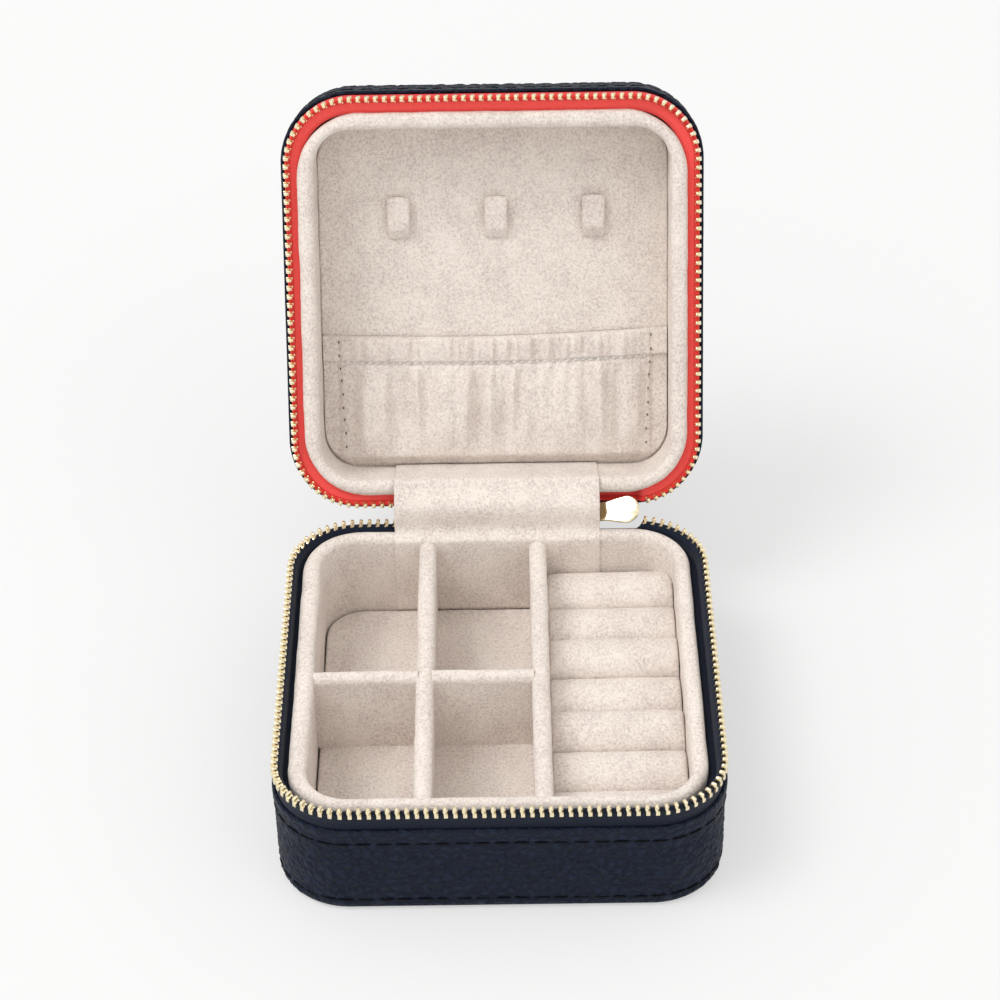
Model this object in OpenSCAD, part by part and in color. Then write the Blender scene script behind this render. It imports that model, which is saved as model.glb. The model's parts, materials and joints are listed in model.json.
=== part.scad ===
// Zip-round travel jewellery case: a deep base and a shallower lid, both boards covered in
// pebbled leather, hinged on a leather spine and closed by a metal zip round three sides.
// Every lid piece is written where it lies with the case closed, and then swung open.
// Origin: centre of the base's underside. +X right, +Y to the hinge, +Z up. Millimetres.

/* [Case] */
// Width of the case over the leather
case_w = 100; // [92:1:115]
// Depth of the case over the leather, front to hinge
case_d = 100.6; // [93:0.1:116]
// Radius of the case's upright corners
corner_r = 17; // [15.5:0.5:19]
// Height of the plane where the two rows of zip teeth meet
seam_z = 30.7; // [30.2:0.1:33]
// Depth of the lid above that plane
lid_depth = 22.3; // [21:0.1:24]
// Angle between lid and base as the case stands open
open_angle = 114.5; // [100:0.5:120]

/* [Shell] */
// Thickness of the outer leather
leather = 1; // [0.8:0.1:1]
// Height of the band of zip that shows between seam and leather
zip_show = 6.3; // [6:0.1:7]
// Thickness of the boards under the base and in the lid
board = 2; // [1.6:0.1:2]

/* [Zip] */
// Distance from tooth to tooth along one row
tooth_pitch = 2.05; // [2:0.05:2.5]
// Thickness of a tooth along the row
tooth_t = 0.86; // [0.7:0.02:0.88]
// Width of a tooth through the tape
tooth_w = 1.8; // [1.6:0.1:1.8]
// Length of a tooth from heel to tip
tooth_h = 4; // [3.6:0.1:4.2]
// Half the length of hinge side left free of zip by the spine, on the left
zip_end_x = 14.5; // [14.5:0.5:18]

/* [Tray] */
// Distance from the case's sides in to the suede tray
tray_inset = 4.3; // [4.2:0.1:4.5]
// Height of the tray's rim
tray_rim_z = 27.7; // [26.5:0.1:27.7]
// Height of the compartments' floor
floor_z = 6.2; // [5.8:0.1:6.6]
// Wall thickness of the tray
tray_wall = 3.8; // [3.2:0.1:4]
// Thickness of the dividers
divider_t = 4.1; // [3.4:0.1:4.2]
// Height of the ring rolls' tops
roll_top_z = 21.5; // [20:0.1:23]

/* [Lid lining] */
// Thickness of the suede frame inside the lid
frame_wall = 3.8; // [3.4:0.1:4]
// Distance between the necklace hooks
hook_pitch = 23.4; // [20:0.1:28]
// Height of the pocket in the lid, from its mouth to its bottom seam
pocket_h = 32.4; // [26:0.1:34]

/* [Hinge and pull] */
// Width of the suede strap that lines the hinge
strap_w = 49.2; // [40:0.1:50]
// Width of the leather spine outside the hinge
spine_w = 22; // [16:1:24]
// Length of the pull from its pin to its tip
pull_len = 10.9; // [9:0.1:10.9]
// Width of the pull's round end
pull_w = 6.6; // [5:0.1:6.6]

/* [Hidden] */
$fn = 48;

e = 1;                                    // how far a cutter runs past what it cuts
gap = 0.05;                               // air between pieces of one body
hx = case_w / 2;
hy = case_d / 2;
hinge_y = hy + 0.5;                       // hinge line, in the middle of the spine's leather
lid_top_z = seam_z + lid_depth;
base_rim_z = seam_z - zip_show;           // top edge of the base's leather
lid_rim_z = seam_z + zip_show;            // lower edge of the lid's leather, closed

// Zip: tape and teeth stand on one line, inside the leather
tape_t = 0.6;
tape_in = leather + gap;                  // from the leather's face in to the tape
tape_hidden = 7;                          // height of tape glued behind the leather
zip_in = tape_in + tape_t / 2;
zip_hx = hx - zip_in;
zip_hy = hy - zip_in;
zip_r = corner_r - zip_in;
tooth_lap = 0.5;                          // how far each row reaches past the seam
tooth_slot = 1.8;                         // height of the slot that grips the tape
tooth_clear = 0.03;                       // air between a leg and the tape
tooth_chamfer = [0.3, 1.1];               // slope at a tooth's tip, across and along
tooth_heel = tooth_h - tooth_lap;         // from the seam down to a tooth's heel
tape_low = 4.6;                           // the parked slider's stretch has a low tape
park_x = 13.2;                            // the slider's stretch starts here
row_lead = 2.4;                           // first tooth, along the corner after that stretch
stop_w = 1.2;                             // width of the stop at the row's other end

side_x = zip_hx - zip_r;                  // where the zip's straight runs end
side_y = zip_hy - zip_r;
arc_len = PI / 2 * zip_r;
row_len = 4 * arc_len + 4 * side_y + 2 * side_x + (side_x - zip_end_x) - row_lead;
tooth_n = floor(row_len / tooth_pitch) - 1;

// Tray
tray_front_inset = 3.4;
tray_back_inset = 2.5;
tray_hx = hx - tray_inset;
tray_front = tray_front_inset - hy;
tray_back = hy - tray_back_inset;
tray_r = 15;
in_r = 9;                                 // corner radius inside tray and frame
back_wall = 3;                            // the tray's wall on the hinge side
in_hx = tray_hx - tray_wall;
in_front = tray_front + tray_wall;
in_back = tray_back - back_wall;
wall_board_t = 0.7;
foam_t = 1.6;
floor_t = floor_z - leather - board - foam_t;
strap_t = 0.6;
divider_top_z = tray_rim_z - 0.3;
divider_left_x = -16.7 * case_w / 100;    // middle of the left long divider
divider_right_x = 9.6 * case_w / 100;
cross_y = -2.6;                           // middle of the cross dividers
cross_t = divider_t - 0.5;
divider_back = in_back - strap_t;

// Ring pad
roll_count = 7;
pad_x0 = divider_right_x + divider_t / 2;
pad_x1 = in_hx - gap;
pad_y0 = in_front + gap;
pad_y1 = in_back - strap_t;
pad_base_t = 3;
roll_pitch = (pad_y1 - pad_y0) / roll_count;
roll_gap = 0.25;
roll_r = (roll_pitch - roll_gap) / 2;

// Lid lining, closed
frame_inset = 4.1;
frame_front_inset = 4.9;
frame_back_inset = 4;
frame_hx = hx - frame_inset;
frame_front = frame_front_inset - hy;
frame_back = hy - frame_back_inset;
frame_rim_z = seam_z + 0.5;                // the frame's rim stops just past the seam
frame_r = 15;
frame_in_hx = frame_hx - frame_wall;
frame_in_front = frame_front + frame_wall;
frame_in_back = frame_back - frame_wall;
lid_board_z = lid_top_z - leather - board;
lid_foam_t = 1.8;
panel_t = 1.2;
panel_z = lid_board_z - lid_foam_t - panel_t;   // the face that shows in the open lid
hook_w = 5;
hook_shift = 0.7;                         // the row of hooks stands this far right of the middle
hook_h = 10.2;
hook_foot = 3;                            // length of the hook's root on the panel
hook_gap = 1.3;                           // room for a chain behind the hook
hook_t = 1.5;
hook_end_y = -24.2;                       // the hooks' free ends
pocket_mouth_y = frame_in_back - pocket_h - 0.6;
pocket_air = 1.2;                         // room behind the pocket's front
pocket_t = 1;
pocket_seam = 3.2;                        // width sewn down at its sides and bottom
casing_h = 6;                             // height of the casing that holds the elastic
casing_t = 1.9;
elastic_h = 4.4;
elastic_t = 0.7;

// Hinge pieces
spine_t = 1;
spine_lap = 4.5;                          // how far the spine is sewn over each wall
spine_clear = 1.3;                        // the spine's halves stop this far from the seam

// Slider and pull, about the hinge line
slider_x0 = park_x + 1;
slider_x1 = slider_x0 + 8.4;
slider_half_t = 1.6;                      // half the slider's thickness
slider_plate = 0.6;
slider_wide = 3.3;                        // half width at the end that faces the teeth
slider_narrow = 2.5;
slider_lip = 0.55;
pin_x = slider_x1 + 1;
pin_r = 0.5;
pin_clear = 0.05;
lug_r = 0.95;
lug_half = 1.35;
ear_clear = 0.15;
ear_half = 2.2;                           // half width of the pull's neck
pull_t = 0.9;
pull_tilt = 15;                           // the pull leans in through the open zip

navy = [0.11, 0.14, 0.2];
tape_navy = [0.05, 0.07, 0.12];
tape_red = [0.85, 0.16, 0.16];
suede = [0.88, 0.81, 0.77];
gold = [0.85, 0.72, 0.42];
greyboard = [0.55, 0.52, 0.48];
foam = [0.93, 0.92, 0.86];

// ---- helpers ----

// Rectangle with round corners, from two squares and four circles
module round_rect(x0, x1, y0, y1, r) {
    translate([x0 + r, y0]) square([x1 - x0 - 2 * r, y1 - y0]);
    translate([x0, y0 + r]) square([x1 - x0, y1 - y0 - 2 * r]);
    for (x = [x0 + r, x1 - r], y = [y0 + r, y1 - r]) translate([x, y]) circle(r = r);
}

// Plate with round corners, inset all round from the case's outline
module case_plate(inset, z0, z1) {
    translate([0, 0, z0]) linear_extrude(z1 - z0)
        round_rect(inset - hx, hx - inset, inset - hy, hy - inset, corner_r - inset);
}

// Wall that follows the case's outline
module case_ring(inset, t, z0, z1) {
    difference() {
        case_plate(inset, z0, z1);
        case_plate(inset + t, z0 - e, z1 + e);
    }
}

// Wall of the tray or of the lid's frame; the side by the hinge has its own thickness
module lining_ring(w, front, back, t, back_t, r, z0, z1) {
    difference() {
        translate([0, 0, z0]) linear_extrude(z1 - z0) round_rect(-w, w, front, back, r);
        translate([0, 0, z0 - e]) linear_extrude(z1 - z0 + 2 * e)
            round_rect(t - w, w - t, front + t, back - back_t, in_r);
    }
}

module box(x0, x1, y0, y1, z0, z1) {
    translate([x0, y0, z0]) cube([x1 - x0, y1 - y0, z1 - z0]);
}

// Swings a lid piece from its closed place to the open one
module in_lid() {
    translate([0, hinge_y, seam_z]) rotate([-open_angle, 0, 0])
        translate([0, -hinge_y, -seam_z]) children();
}

// The slider sits on the hinge line and halves the angle between lid and base
module at_slider() {
    translate([0, hinge_y, seam_z]) rotate([-open_angle / 2, 0, 0]) children();
}

// Mirrors a base piece of the zip up to the lid's side of the seam
module over_seam() {
    translate([0, 0, 2 * seam_z]) mirror([0, 0, 1]) children();
}

// ---- zip ----

// The zip line's runs, clockwise from the back right: length, start and heading or arc centre
runs = [
    [arc_len, [side_x, side_y], 90],
    [2 * side_y, [zip_hx, side_y], [0, -1]],
    [arc_len, [side_x, -side_y], 0],
    [2 * side_x, [side_x, -zip_hy], [-1, 0]],
    [arc_len, [-side_x, -side_y], -90],
    [2 * side_y, [-zip_hx, -side_y], [0, 1]],
    [arc_len, [-side_x, side_y], 180],
    [side_x - zip_end_x, [-side_x, zip_hy], [1, 0]]
];

// Place on the zip line and the direction that faces out of the case, at length s
function zip_point(s, i = 0) =
    s > runs[i][0] && i < len(runs) - 1 ? zip_point(s - runs[i][0], i + 1) :
    is_list(runs[i][2]) ?
        [runs[i][1] + s * runs[i][2], atan2(runs[i][2][0], -runs[i][2][1])] :
    let (a = runs[i][2] - s / zip_r * 180 / PI)
        [runs[i][1] + zip_r * [cos(a), sin(a)], a];

leg_in = tape_t / 2 + tooth_clear;        // from the tape's middle out to a leg

// One tooth: a head above, and two legs that grip the tape
tooth_outline = [
    [-tooth_w / 2, 0], [-leg_in, 0], [-leg_in, tooth_slot],
    [leg_in, tooth_slot], [leg_in, 0], [tooth_w / 2, 0],
    [tooth_w / 2, tooth_h - tooth_chamfer[1]], [tooth_w / 2 - tooth_chamfer[0], tooth_h],
    [tooth_chamfer[0] - tooth_w / 2, tooth_h], [-tooth_w / 2, tooth_h - tooth_chamfer[1]]
];

module tooth(s) {
    p = zip_point(s);
    translate([p[0][0], p[0][1], seam_z - tooth_heel]) rotate([0, 0, p[1]])
        translate([0, tooth_t / 2, 0]) rotate([90, 0, 0])
            linear_extrude(tooth_t) polygon(tooth_outline);
}

module zip_row(shift) {
    for (i = [0:tooth_n - 1]) tooth(row_lead + (i + shift) * tooth_pitch);
}

module zip_tape_strip() {
    difference() {
        case_ring(tape_in, tape_t, base_rim_z - tape_hidden,
            seam_z - tooth_heel + tooth_slot - gap);
        box(-park_x, park_x, side_y + zip_r / 2, hy + e, 0, seam_z);
        box(park_x - e, zip_point(row_lead - tooth_t)[0][0], side_y + zip_r / 2, hy + e,
            seam_z - tape_low, seam_z);
    }
}

// The stop at the left end of a row, past its last tooth
module zip_stop() {
    x = 2 * gap - zip_end_x;
    for (y = [zip_hy - tooth_w / 2, zip_hy + leg_in])
        box(x, x + stop_w, y, y + tooth_w / 2 - leg_in, seam_z - tooth_heel, seam_z - e);
}

// ---- base ----

module base_leather_bottom() {
    color(navy) case_plate(leather + gap, 0, leather);
}

module base_leather_wall() {
    color(navy) case_ring(0, leather, 0, base_rim_z);
}

module base_board() {
    color(greyboard) case_plate(leather + gap, leather, leather + board);
}

module base_wall_board() {
    inset = tape_in + tape_t + gap;
    color(greyboard) case_ring(inset, wall_board_t, leather + board, base_rim_z - 2);
}

module base_zip_tape() {
    color(tape_navy) zip_tape_strip();
}

module base_zip_teeth() {
    color(gold) zip_row(0);
}

module base_zip_stop() {
    color(gold) zip_stop();
}

// Plate that fills the tray's inside outline
module tray_plate(z0, z1) {
    translate([0, 0, z0]) linear_extrude(z1 - z0)
        round_rect(gap - in_hx, in_hx - gap, in_front + gap, in_back - gap, in_r - gap);
}

module tray_floor_foam() {
    color(foam) tray_plate(leather + board, leather + board + foam_t);
}

module tray_floor() {
    color(suede) tray_plate(floor_z - floor_t, floor_z);
}

module tray_wall_lining() {
    color(suede) lining_ring(tray_hx, tray_front, tray_back, tray_wall, back_wall, tray_r,
        leather + board, tray_rim_z);
}

// Divider that runs front to back, with a round top
module long_divider(x) {
    r = divider_t / 2;
    color(suede) {
        box(x - r, x + r, in_front, divider_back, floor_z, divider_top_z - r);
        translate([x, divider_back, divider_top_z - r]) rotate([90, 0, 0])
            cylinder(r = r, h = divider_back - in_front);
    }
}

// Divider that runs left to right, with a round top
module cross_divider(x0, x1) {
    r = cross_t / 2;
    color(suede) {
        box(x0, x1, cross_y - r, cross_y + r, floor_z, divider_top_z - r);
        translate([x0, cross_y, divider_top_z - r]) rotate([0, 90, 0])
            cylinder(r = r, h = x1 - x0);
    }
}

module long_divider_left() {
    long_divider(divider_left_x);
}

module long_divider_right() {
    long_divider(divider_right_x);
}

module cross_divider_left() {
    cross_divider(-in_hx, divider_left_x - divider_t / 2);
}

module cross_divider_right() {
    cross_divider(divider_left_x + divider_t / 2, divider_right_x - divider_t / 2);
}

// Outline of the ring pad; its right corners follow the tray's
module pad_outline() {
    difference() {
        translate([pad_x0, pad_y0]) square([pad_x1 - pad_x0, pad_y1 - pad_y0]);
        for (y = [pad_y0, pad_y1]) difference() {
            translate([pad_x1 - in_r, y - (y > 0 ? in_r : 0)]) square([in_r, in_r]);
            translate([pad_x1 - in_r, y + (y > 0 ? -in_r : in_r)]) circle(r = in_r);
        }
    }
}

module ring_pad_base() {
    color(foam) translate([0, 0, floor_z]) linear_extrude(pad_base_t) pad_outline();
}

// One roll, numbered from the hinge side; it is cut to the pad's outline
module ring_roll(i) {
    y = pad_y1 - (i - 0.5) * roll_pitch;
    z0 = floor_z + pad_base_t;
    zc = roll_top_z - roll_r;
    color(suede) intersection() {
        union() {
            box(pad_x0, pad_x1, y - roll_r, y + roll_r, z0, zc);
            translate([pad_x0, y, zc]) rotate([0, 90, 0])
                cylinder(r = roll_r, h = pad_x1 - pad_x0);
        }
        translate([0, 0, z0]) linear_extrude(roll_top_z - z0 + e) pad_outline();
    }
}

// The strap's lower half: down the tray's back wall and over its rim
module hinge_strap_lower() {
    w = strap_w / 2;
    color(suede) {
        box(-w, w, in_back - strap_t, in_back, floor_z, tray_rim_z + strap_t);
        box(-w, w, in_back, tray_back, tray_rim_z, tray_rim_z + strap_t);
    }
}

// The spine's lower half, sewn outside the base's back wall
module spine_lower() {
    color(navy) box(-spine_w / 2, spine_w / 2, hy, hy + spine_t,
        base_rim_z - spine_lap, seam_z - spine_clear);
}

// ---- slider and pull ----

slider_outline = [
    [slider_x0, -slider_narrow], [slider_x1 - 2.4, -slider_wide], [slider_x1, -slider_wide + 0.5],
    [slider_x1, slider_wide - 0.5], [slider_x1 - 2.4, slider_wide], [slider_x0, slider_narrow]
];

module slider_layer(y0, y1) {
    translate([0, y1, 0]) rotate([90, 0, 0]) linear_extrude(y1 - y0) polygon(slider_outline);
}

module zip_slider() {
    color(gold) at_slider() difference() {
        union() {
            for (side = [-1, 1]) {
                y0 = side > 0 ? slider_half_t - slider_plate : -slider_half_t;
                slider_layer(y0, y0 + slider_plate);
                // the plates' lips, which keep the tape in its channel
                y1 = side > 0 ? y0 - slider_lip : y0 + slider_plate;
                for (z = [-slider_wide, slider_wide - slider_lip])
                    box(slider_x1 - 6, slider_x1 - 2.4, y1, y1 + slider_lip,
                        z, z + slider_lip);
            }
            // the post between the two channels, and the lug on its nose
            box(slider_x1 - 2.6, slider_x1 - 0.2, -slider_half_t + 0.1, slider_half_t - 0.1,
                -lug_half, lug_half);
            box(slider_x1 - 0.3, pin_x, -lug_r, lug_r, -lug_half, lug_half);
            translate([pin_x, 0, -lug_half]) cylinder(r = lug_r, h = 2 * lug_half);
        }
        translate([pin_x, 0, -lug_half - e]) cylinder(r = pin_r, h = 2 * lug_half + 2 * e);
    }
}

module slider_pin() {
    color(gold) at_slider() translate([pin_x, 0, -ear_half]) cylinder(r = pin_r, h = 2 * ear_half);
}

// The pull's plate: a neck that widens into a round paddle
pull_round_x = pull_len - pull_w / 2;
pull_neck = [
    [lug_r + 0.25, -ear_half], [3, -ear_half - 0.05], [pull_round_x, -pull_w / 2],
    [pull_round_x, pull_w / 2], [3, ear_half + 0.05], [lug_r + 0.25, ear_half]
];

module pull_tab() {
    inner = lug_half + ear_clear;
    color(gold) at_slider() translate([pin_x, 0, 0]) rotate([0, 0, -pull_tilt])
        difference() {
            union() {
                translate([0, pull_t / 2, 0]) rotate([90, 0, 0]) linear_extrude(pull_t) {
                    polygon(pull_neck);
                    translate([pull_round_x, 0]) circle(d = pull_w);
                }
                // two ears that take the pin on either side of the lug
                for (z = [-ear_half, inner]) {
                    translate([0, 0, z]) cylinder(r = lug_r, h = ear_half - inner);
                    box(0, lug_r + 0.3, -pull_t / 2, pull_t / 2, z, z + ear_half - inner);
                }
            }
            translate([0, 0, -ear_half - e])
                cylinder(r = pin_r + pin_clear, h = 2 * ear_half + 2 * e);
        }
}

// ---- lid ----

module lid_leather_top() {
    color(navy) in_lid() case_plate(leather + gap, lid_top_z - leather, lid_top_z);
}

module lid_leather_wall() {
    color(navy) in_lid() case_ring(0, leather, lid_rim_z, lid_top_z);
}

module lid_board() {
    color(greyboard) in_lid() case_plate(leather + gap, lid_board_z, lid_top_z - leather);
}

module lid_wall_board() {
    color(greyboard) in_lid()
        case_ring(tape_in + tape_t + gap, wall_board_t, lid_rim_z + 2, lid_board_z);
}

module lid_zip_tape() {
    color(tape_red) in_lid() over_seam() zip_tape_strip();
}

module lid_zip_teeth() {
    color(gold) in_lid() over_seam() zip_row(0.5);
}

module lid_zip_stop() {
    color(gold) in_lid() over_seam() zip_stop();
}

// Plate that fills the frame's inside outline
module frame_plate(z0, z1) {
    translate([0, 0, z0]) linear_extrude(z1 - z0)
        round_rect(gap - frame_in_hx, frame_in_hx - gap,
            frame_in_front + gap, frame_in_back - gap, in_r - gap);
}

module lid_foam() {
    color(foam) in_lid() frame_plate(panel_z + panel_t, lid_board_z);
}

module lid_panel() {
    color(suede) in_lid() frame_plate(panel_z, panel_z + panel_t);
}

module lid_frame() {
    color(suede) in_lid() lining_ring(frame_hx, frame_front, frame_back, frame_wall,
        frame_wall, frame_r, frame_rim_z, lid_board_z);
}

// A stiff suede tab: its root stands on the panel and its free end holds a chain
module necklace_hook(place) {
    x = hook_shift + place * hook_pitch;
    z1 = panel_z - hook_gap;
    y1 = hook_end_y + hook_h;
    color(suede) in_lid() {
        box(x - hook_w / 2, x + hook_w / 2, hook_end_y, y1, z1 - hook_t, z1);
        box(x - hook_w / 2, x + hook_w / 2, y1 - hook_foot, y1, z1, panel_z);
    }
}

// The pocket: sewn down at the bottom and both sides, with a casing along its mouth
module lid_pocket() {
    w = frame_in_hx - 0.3;
    y1 = frame_in_back - strap_t - 0.2;
    z1 = panel_z - pocket_air;
    color(suede) in_lid() difference() {
        union() {
            box(-w, w, pocket_mouth_y + 1, y1, z1 - pocket_t, z1);
            box(-w, w, pocket_mouth_y, pocket_mouth_y + casing_h, z1 - casing_t, z1);
            for (x = [-w, w - pocket_seam]) box(x, x + pocket_seam, pocket_mouth_y, y1, z1, panel_z);
            box(-w, w, y1 - pocket_seam, y1, z1, panel_z);
        }
        box(-w - e, w + e, pocket_mouth_y + 0.8, pocket_mouth_y + 0.8 + elastic_h,
            z1 - 0.6 - elastic_t, z1 - 0.6);
        // corners that follow the frame's
        for (side = [-1, 1]) difference() {
            box(side > 0 ? w - in_r : -w - e, side > 0 ? w + e : in_r - w, y1 - in_r, y1 + e,
                0, 2 * lid_top_z);
            translate([side * (w - in_r), y1 - in_r, -e]) cylinder(r = in_r, h = 2 * lid_top_z);
        }
    }
}

module pocket_elastic() {
    w = frame_in_hx - 0.3;
    z1 = panel_z - pocket_air - 0.6;
    color(foam) in_lid() box(-w, w, pocket_mouth_y + 0.8 + gap, pocket_mouth_y + 0.8 + elastic_h - gap,
        z1 - elastic_t + gap, z1 - gap);
}

// The strap's upper half: down the frame's inner side and over its rim
module hinge_strap_upper() {
    w = strap_w / 2;
    color(suede) in_lid() {
        box(-w, w, frame_in_back - strap_t, frame_in_back, frame_rim_z - strap_t, panel_z);
        box(-w, w, frame_in_back, frame_back, frame_rim_z - strap_t, frame_rim_z);
    }
}

// The spine's upper half, sewn outside the lid's back wall
module spine_upper() {
    color(navy) in_lid() box(-spine_w / 2, spine_w / 2, hy, hy + spine_t,
        seam_z + spine_clear, lid_rim_z + spine_lap);
}

base_leather_bottom();
base_leather_wall();
base_board();
base_wall_board();
base_zip_tape();
base_zip_teeth();
base_zip_stop();
tray_floor_foam();
tray_floor();
tray_wall_lining();
long_divider_left();
long_divider_right();
cross_divider_left();
cross_divider_right();
ring_pad_base();
ring_roll(1);  // ring_roll_1
ring_roll(2);  // ring_roll_2
ring_roll(3);  // ring_roll_3
ring_roll(4);  // ring_roll_4
ring_roll(5);  // ring_roll_5
ring_roll(6);  // ring_roll_6
ring_roll(7);  // ring_roll_7
hinge_strap_lower();
spine_lower();
zip_slider();
slider_pin();
pull_tab();
lid_leather_top();
lid_leather_wall();
lid_board();
lid_wall_board();
lid_zip_tape();
lid_zip_teeth();
lid_zip_stop();
lid_foam();
lid_panel();
lid_frame();
necklace_hook(-1);  // necklace_hook_left
necklace_hook(0);  // necklace_hook_middle
necklace_hook(1);  // necklace_hook_right
lid_pocket();
pocket_elastic();
hinge_strap_upper();
spine_upper();
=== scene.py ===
"""Dresses the zip-round jewellery case: leather, woven tapes, metal zip, suede tray and lid lining.

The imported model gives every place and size. Meshes are worked out in millimetres, in the row frame,
and lid pieces are worked out with the case closed and then swung open.
"""

import json
import math

import bmesh
import bpy
import numpy as np
from bpy.props import FloatProperty, FloatVectorProperty, IntProperty, PointerProperty
from mathutils import Matrix, Vector, noise


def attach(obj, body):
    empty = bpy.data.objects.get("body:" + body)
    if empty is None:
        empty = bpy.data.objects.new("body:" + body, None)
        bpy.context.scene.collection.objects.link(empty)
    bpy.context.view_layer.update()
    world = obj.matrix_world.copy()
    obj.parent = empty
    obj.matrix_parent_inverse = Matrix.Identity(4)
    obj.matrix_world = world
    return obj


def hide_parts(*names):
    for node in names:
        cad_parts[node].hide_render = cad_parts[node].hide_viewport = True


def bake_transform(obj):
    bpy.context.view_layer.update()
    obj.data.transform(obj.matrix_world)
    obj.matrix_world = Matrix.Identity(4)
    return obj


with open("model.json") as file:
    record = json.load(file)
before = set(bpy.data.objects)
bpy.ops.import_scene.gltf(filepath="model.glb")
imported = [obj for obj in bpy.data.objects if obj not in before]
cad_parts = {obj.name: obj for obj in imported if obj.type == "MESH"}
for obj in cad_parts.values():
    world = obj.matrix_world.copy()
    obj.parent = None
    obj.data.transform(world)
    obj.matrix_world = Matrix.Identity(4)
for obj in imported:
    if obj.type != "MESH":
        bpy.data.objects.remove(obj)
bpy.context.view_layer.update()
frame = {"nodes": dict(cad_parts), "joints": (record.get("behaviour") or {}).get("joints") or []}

bl_info = {
    "name": "Jewellery case dressing",
    "version": (1, 0, 0),
    "blender": (4, 5, 0),
    "location": "3D View > Sidebar > Case",
    "description": "Leather, zip and suede lining for a travel jewellery case",
    "category": "Object",
}

MM = 0.001

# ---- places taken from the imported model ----

LID_HINGE = next(j for j in frame["joints"] if j["name"] == "lid_hinge")
HINGE = Vector(LID_HINGE["pos_m"]) / MM
OPEN = math.radians(-LID_HINGE["range_deg"][0])


def swing(angle):
    """Turn about the hinge line, in millimetres."""
    turn = Matrix.Rotation(-angle, 4, "X")
    return Matrix.Translation(HINGE) @ turn @ Matrix.Translation(-HINGE)


LID = swing(OPEN)
SLIDER = Matrix.Translation(HINGE) @ Matrix.Rotation(-OPEN / 2, 4, "X")


def cad_box(node, back=None):
    """Corners of a CAD node in millimetres, after back has moved its points."""
    co = np.array([v.co for v in frame["nodes"][node].data.vertices]) / MM
    if back is not None:
        m = np.array(back)
        co = co @ m[:3, :3].T + m[:3, 3]
    return co.min(0), co.max(0)


def lid_box(node):
    """Corners of a lid node with the case closed."""
    return cad_box(node, LID.inverted())


WALL_HI = cad_box("base_leather_wall")[1]
TRAY_LO, TRAY_HI = cad_box("tray_wall_lining")
FLOOR_LO, FLOOR_HI = cad_box("tray_floor")
LONG_LO = cad_box("long_divider_left")[0]
CROSS_LO = cad_box("cross_divider_left")[0]
TOOTH_LO, TOOTH_HI = cad_box("base_zip_teeth")
LID_WALL_LO, LID_WALL_HI = lid_box("lid_leather_wall")
FRAME_LO, FRAME_HI = lid_box("lid_frame")
PANEL_LO, PANEL_HI = lid_box("lid_panel")
POCKET_LO, POCKET_HI = lid_box("lid_pocket")

HALF_X, HALF_Y = WALL_HI[0], WALL_HI[1]
BASE_RIM = WALL_HI[2]
LID_RIM, LID_TOP = LID_WALL_LO[2], LID_WALL_HI[2]
SEAM = HINGE.z
PANEL_FACE = PANEL_LO[2]
CORNER_R = 17.0  # the case's upright corners
LINING_R = 15.0  # outer corners of tray and frame
INNER_R = 9.0  # inner corners of tray and frame
EDGE_R = 1.9  # turned edge of the leather at the closed faces
SLIM = {"base": 0.45, "lid": 0.1}  # how far the leather narrows below its rim
GRAIN_SEED = 7  # fixes the wander of the pebbles
RIM_IN = {"base": 0.2, "lid": 0.05}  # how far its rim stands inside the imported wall
ZIP_INSET = 1.35  # from the leather's face in to the middle of the tape


# ---- settings ----


class CaseSizes(bpy.types.PropertyGroup):
    """Sizes of the fine work"""

    grain: FloatProperty(
        name="Grain", description="Size of one pebble of the leather", unit="LENGTH", default=0.0021
    )
    grain_depth: FloatProperty(
        name="Grain depth", description="Height of the leather's pebbles", unit="LENGTH", default=0.00025
    )
    stitch_pitch: FloatProperty(
        name="Stitch pitch",
        description="Distance from stitch to stitch in the leather",
        unit="LENGTH",
        default=0.0043,
    )
    upper_seam: FloatProperty(
        name="Upper seam",
        description="Distance of the seam below the leather's rim",
        unit="LENGTH",
        default=0.0042,
    )
    lower_seam: FloatProperty(
        name="Lower seam",
        description="Distance of the seam from the closed face",
        unit="LENGTH",
        default=0.0031,
    )
    tooth_pitch: FloatProperty(
        name="Tooth pitch",
        description="Distance from tooth to tooth in one row",
        unit="LENGTH",
        default=0.00205,
    )
    tooth_count: IntProperty(name="Teeth", description="Teeth in one row", default=151, min=2)
    ruffle: FloatProperty(
        name="Ruffle",
        description="Depth of the folds below the pocket's elastic",
        unit="LENGTH",
        default=0.0027,
    )
    nap: FloatProperty(
        name="Nap", description="Length of the suede's nap", unit="LENGTH", default=0.0005
    )


def size(name):
    """A setting of the fine work, in millimetres."""
    return getattr(bpy.context.scene.case_sizes, name) / MM


class CaseColours(bpy.types.PropertyGroup):
    """Colours of the leather, cloth, metal and boards"""

    leather: FloatVectorProperty(
        name="Leather",
        description="Colour of the outer leather",
        subtype="COLOR",
        size=3,
        default=(0.0045, 0.0095, 0.024),
    )
    suede: FloatVectorProperty(
        name="Suede",
        description="Colour of the lining",
        subtype="COLOR",
        size=3,
        default=(0.98, 0.83, 0.762),
    )
    red: FloatVectorProperty(
        name="Red tape",
        description="Colour of the lid's zip tape",
        subtype="COLOR",
        size=3,
        default=(0.94, 0.05, 0.045),
    )
    navy: FloatVectorProperty(
        name="Navy tape",
        description="Colour of the base's zip tape",
        subtype="COLOR",
        size=3,
        default=(0.008, 0.016, 0.042),
    )
    gold: FloatVectorProperty(
        name="Gold",
        description="Colour of the zip's metal",
        subtype="COLOR",
        size=3,
        default=(0.95, 0.82, 0.56),
    )


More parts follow.
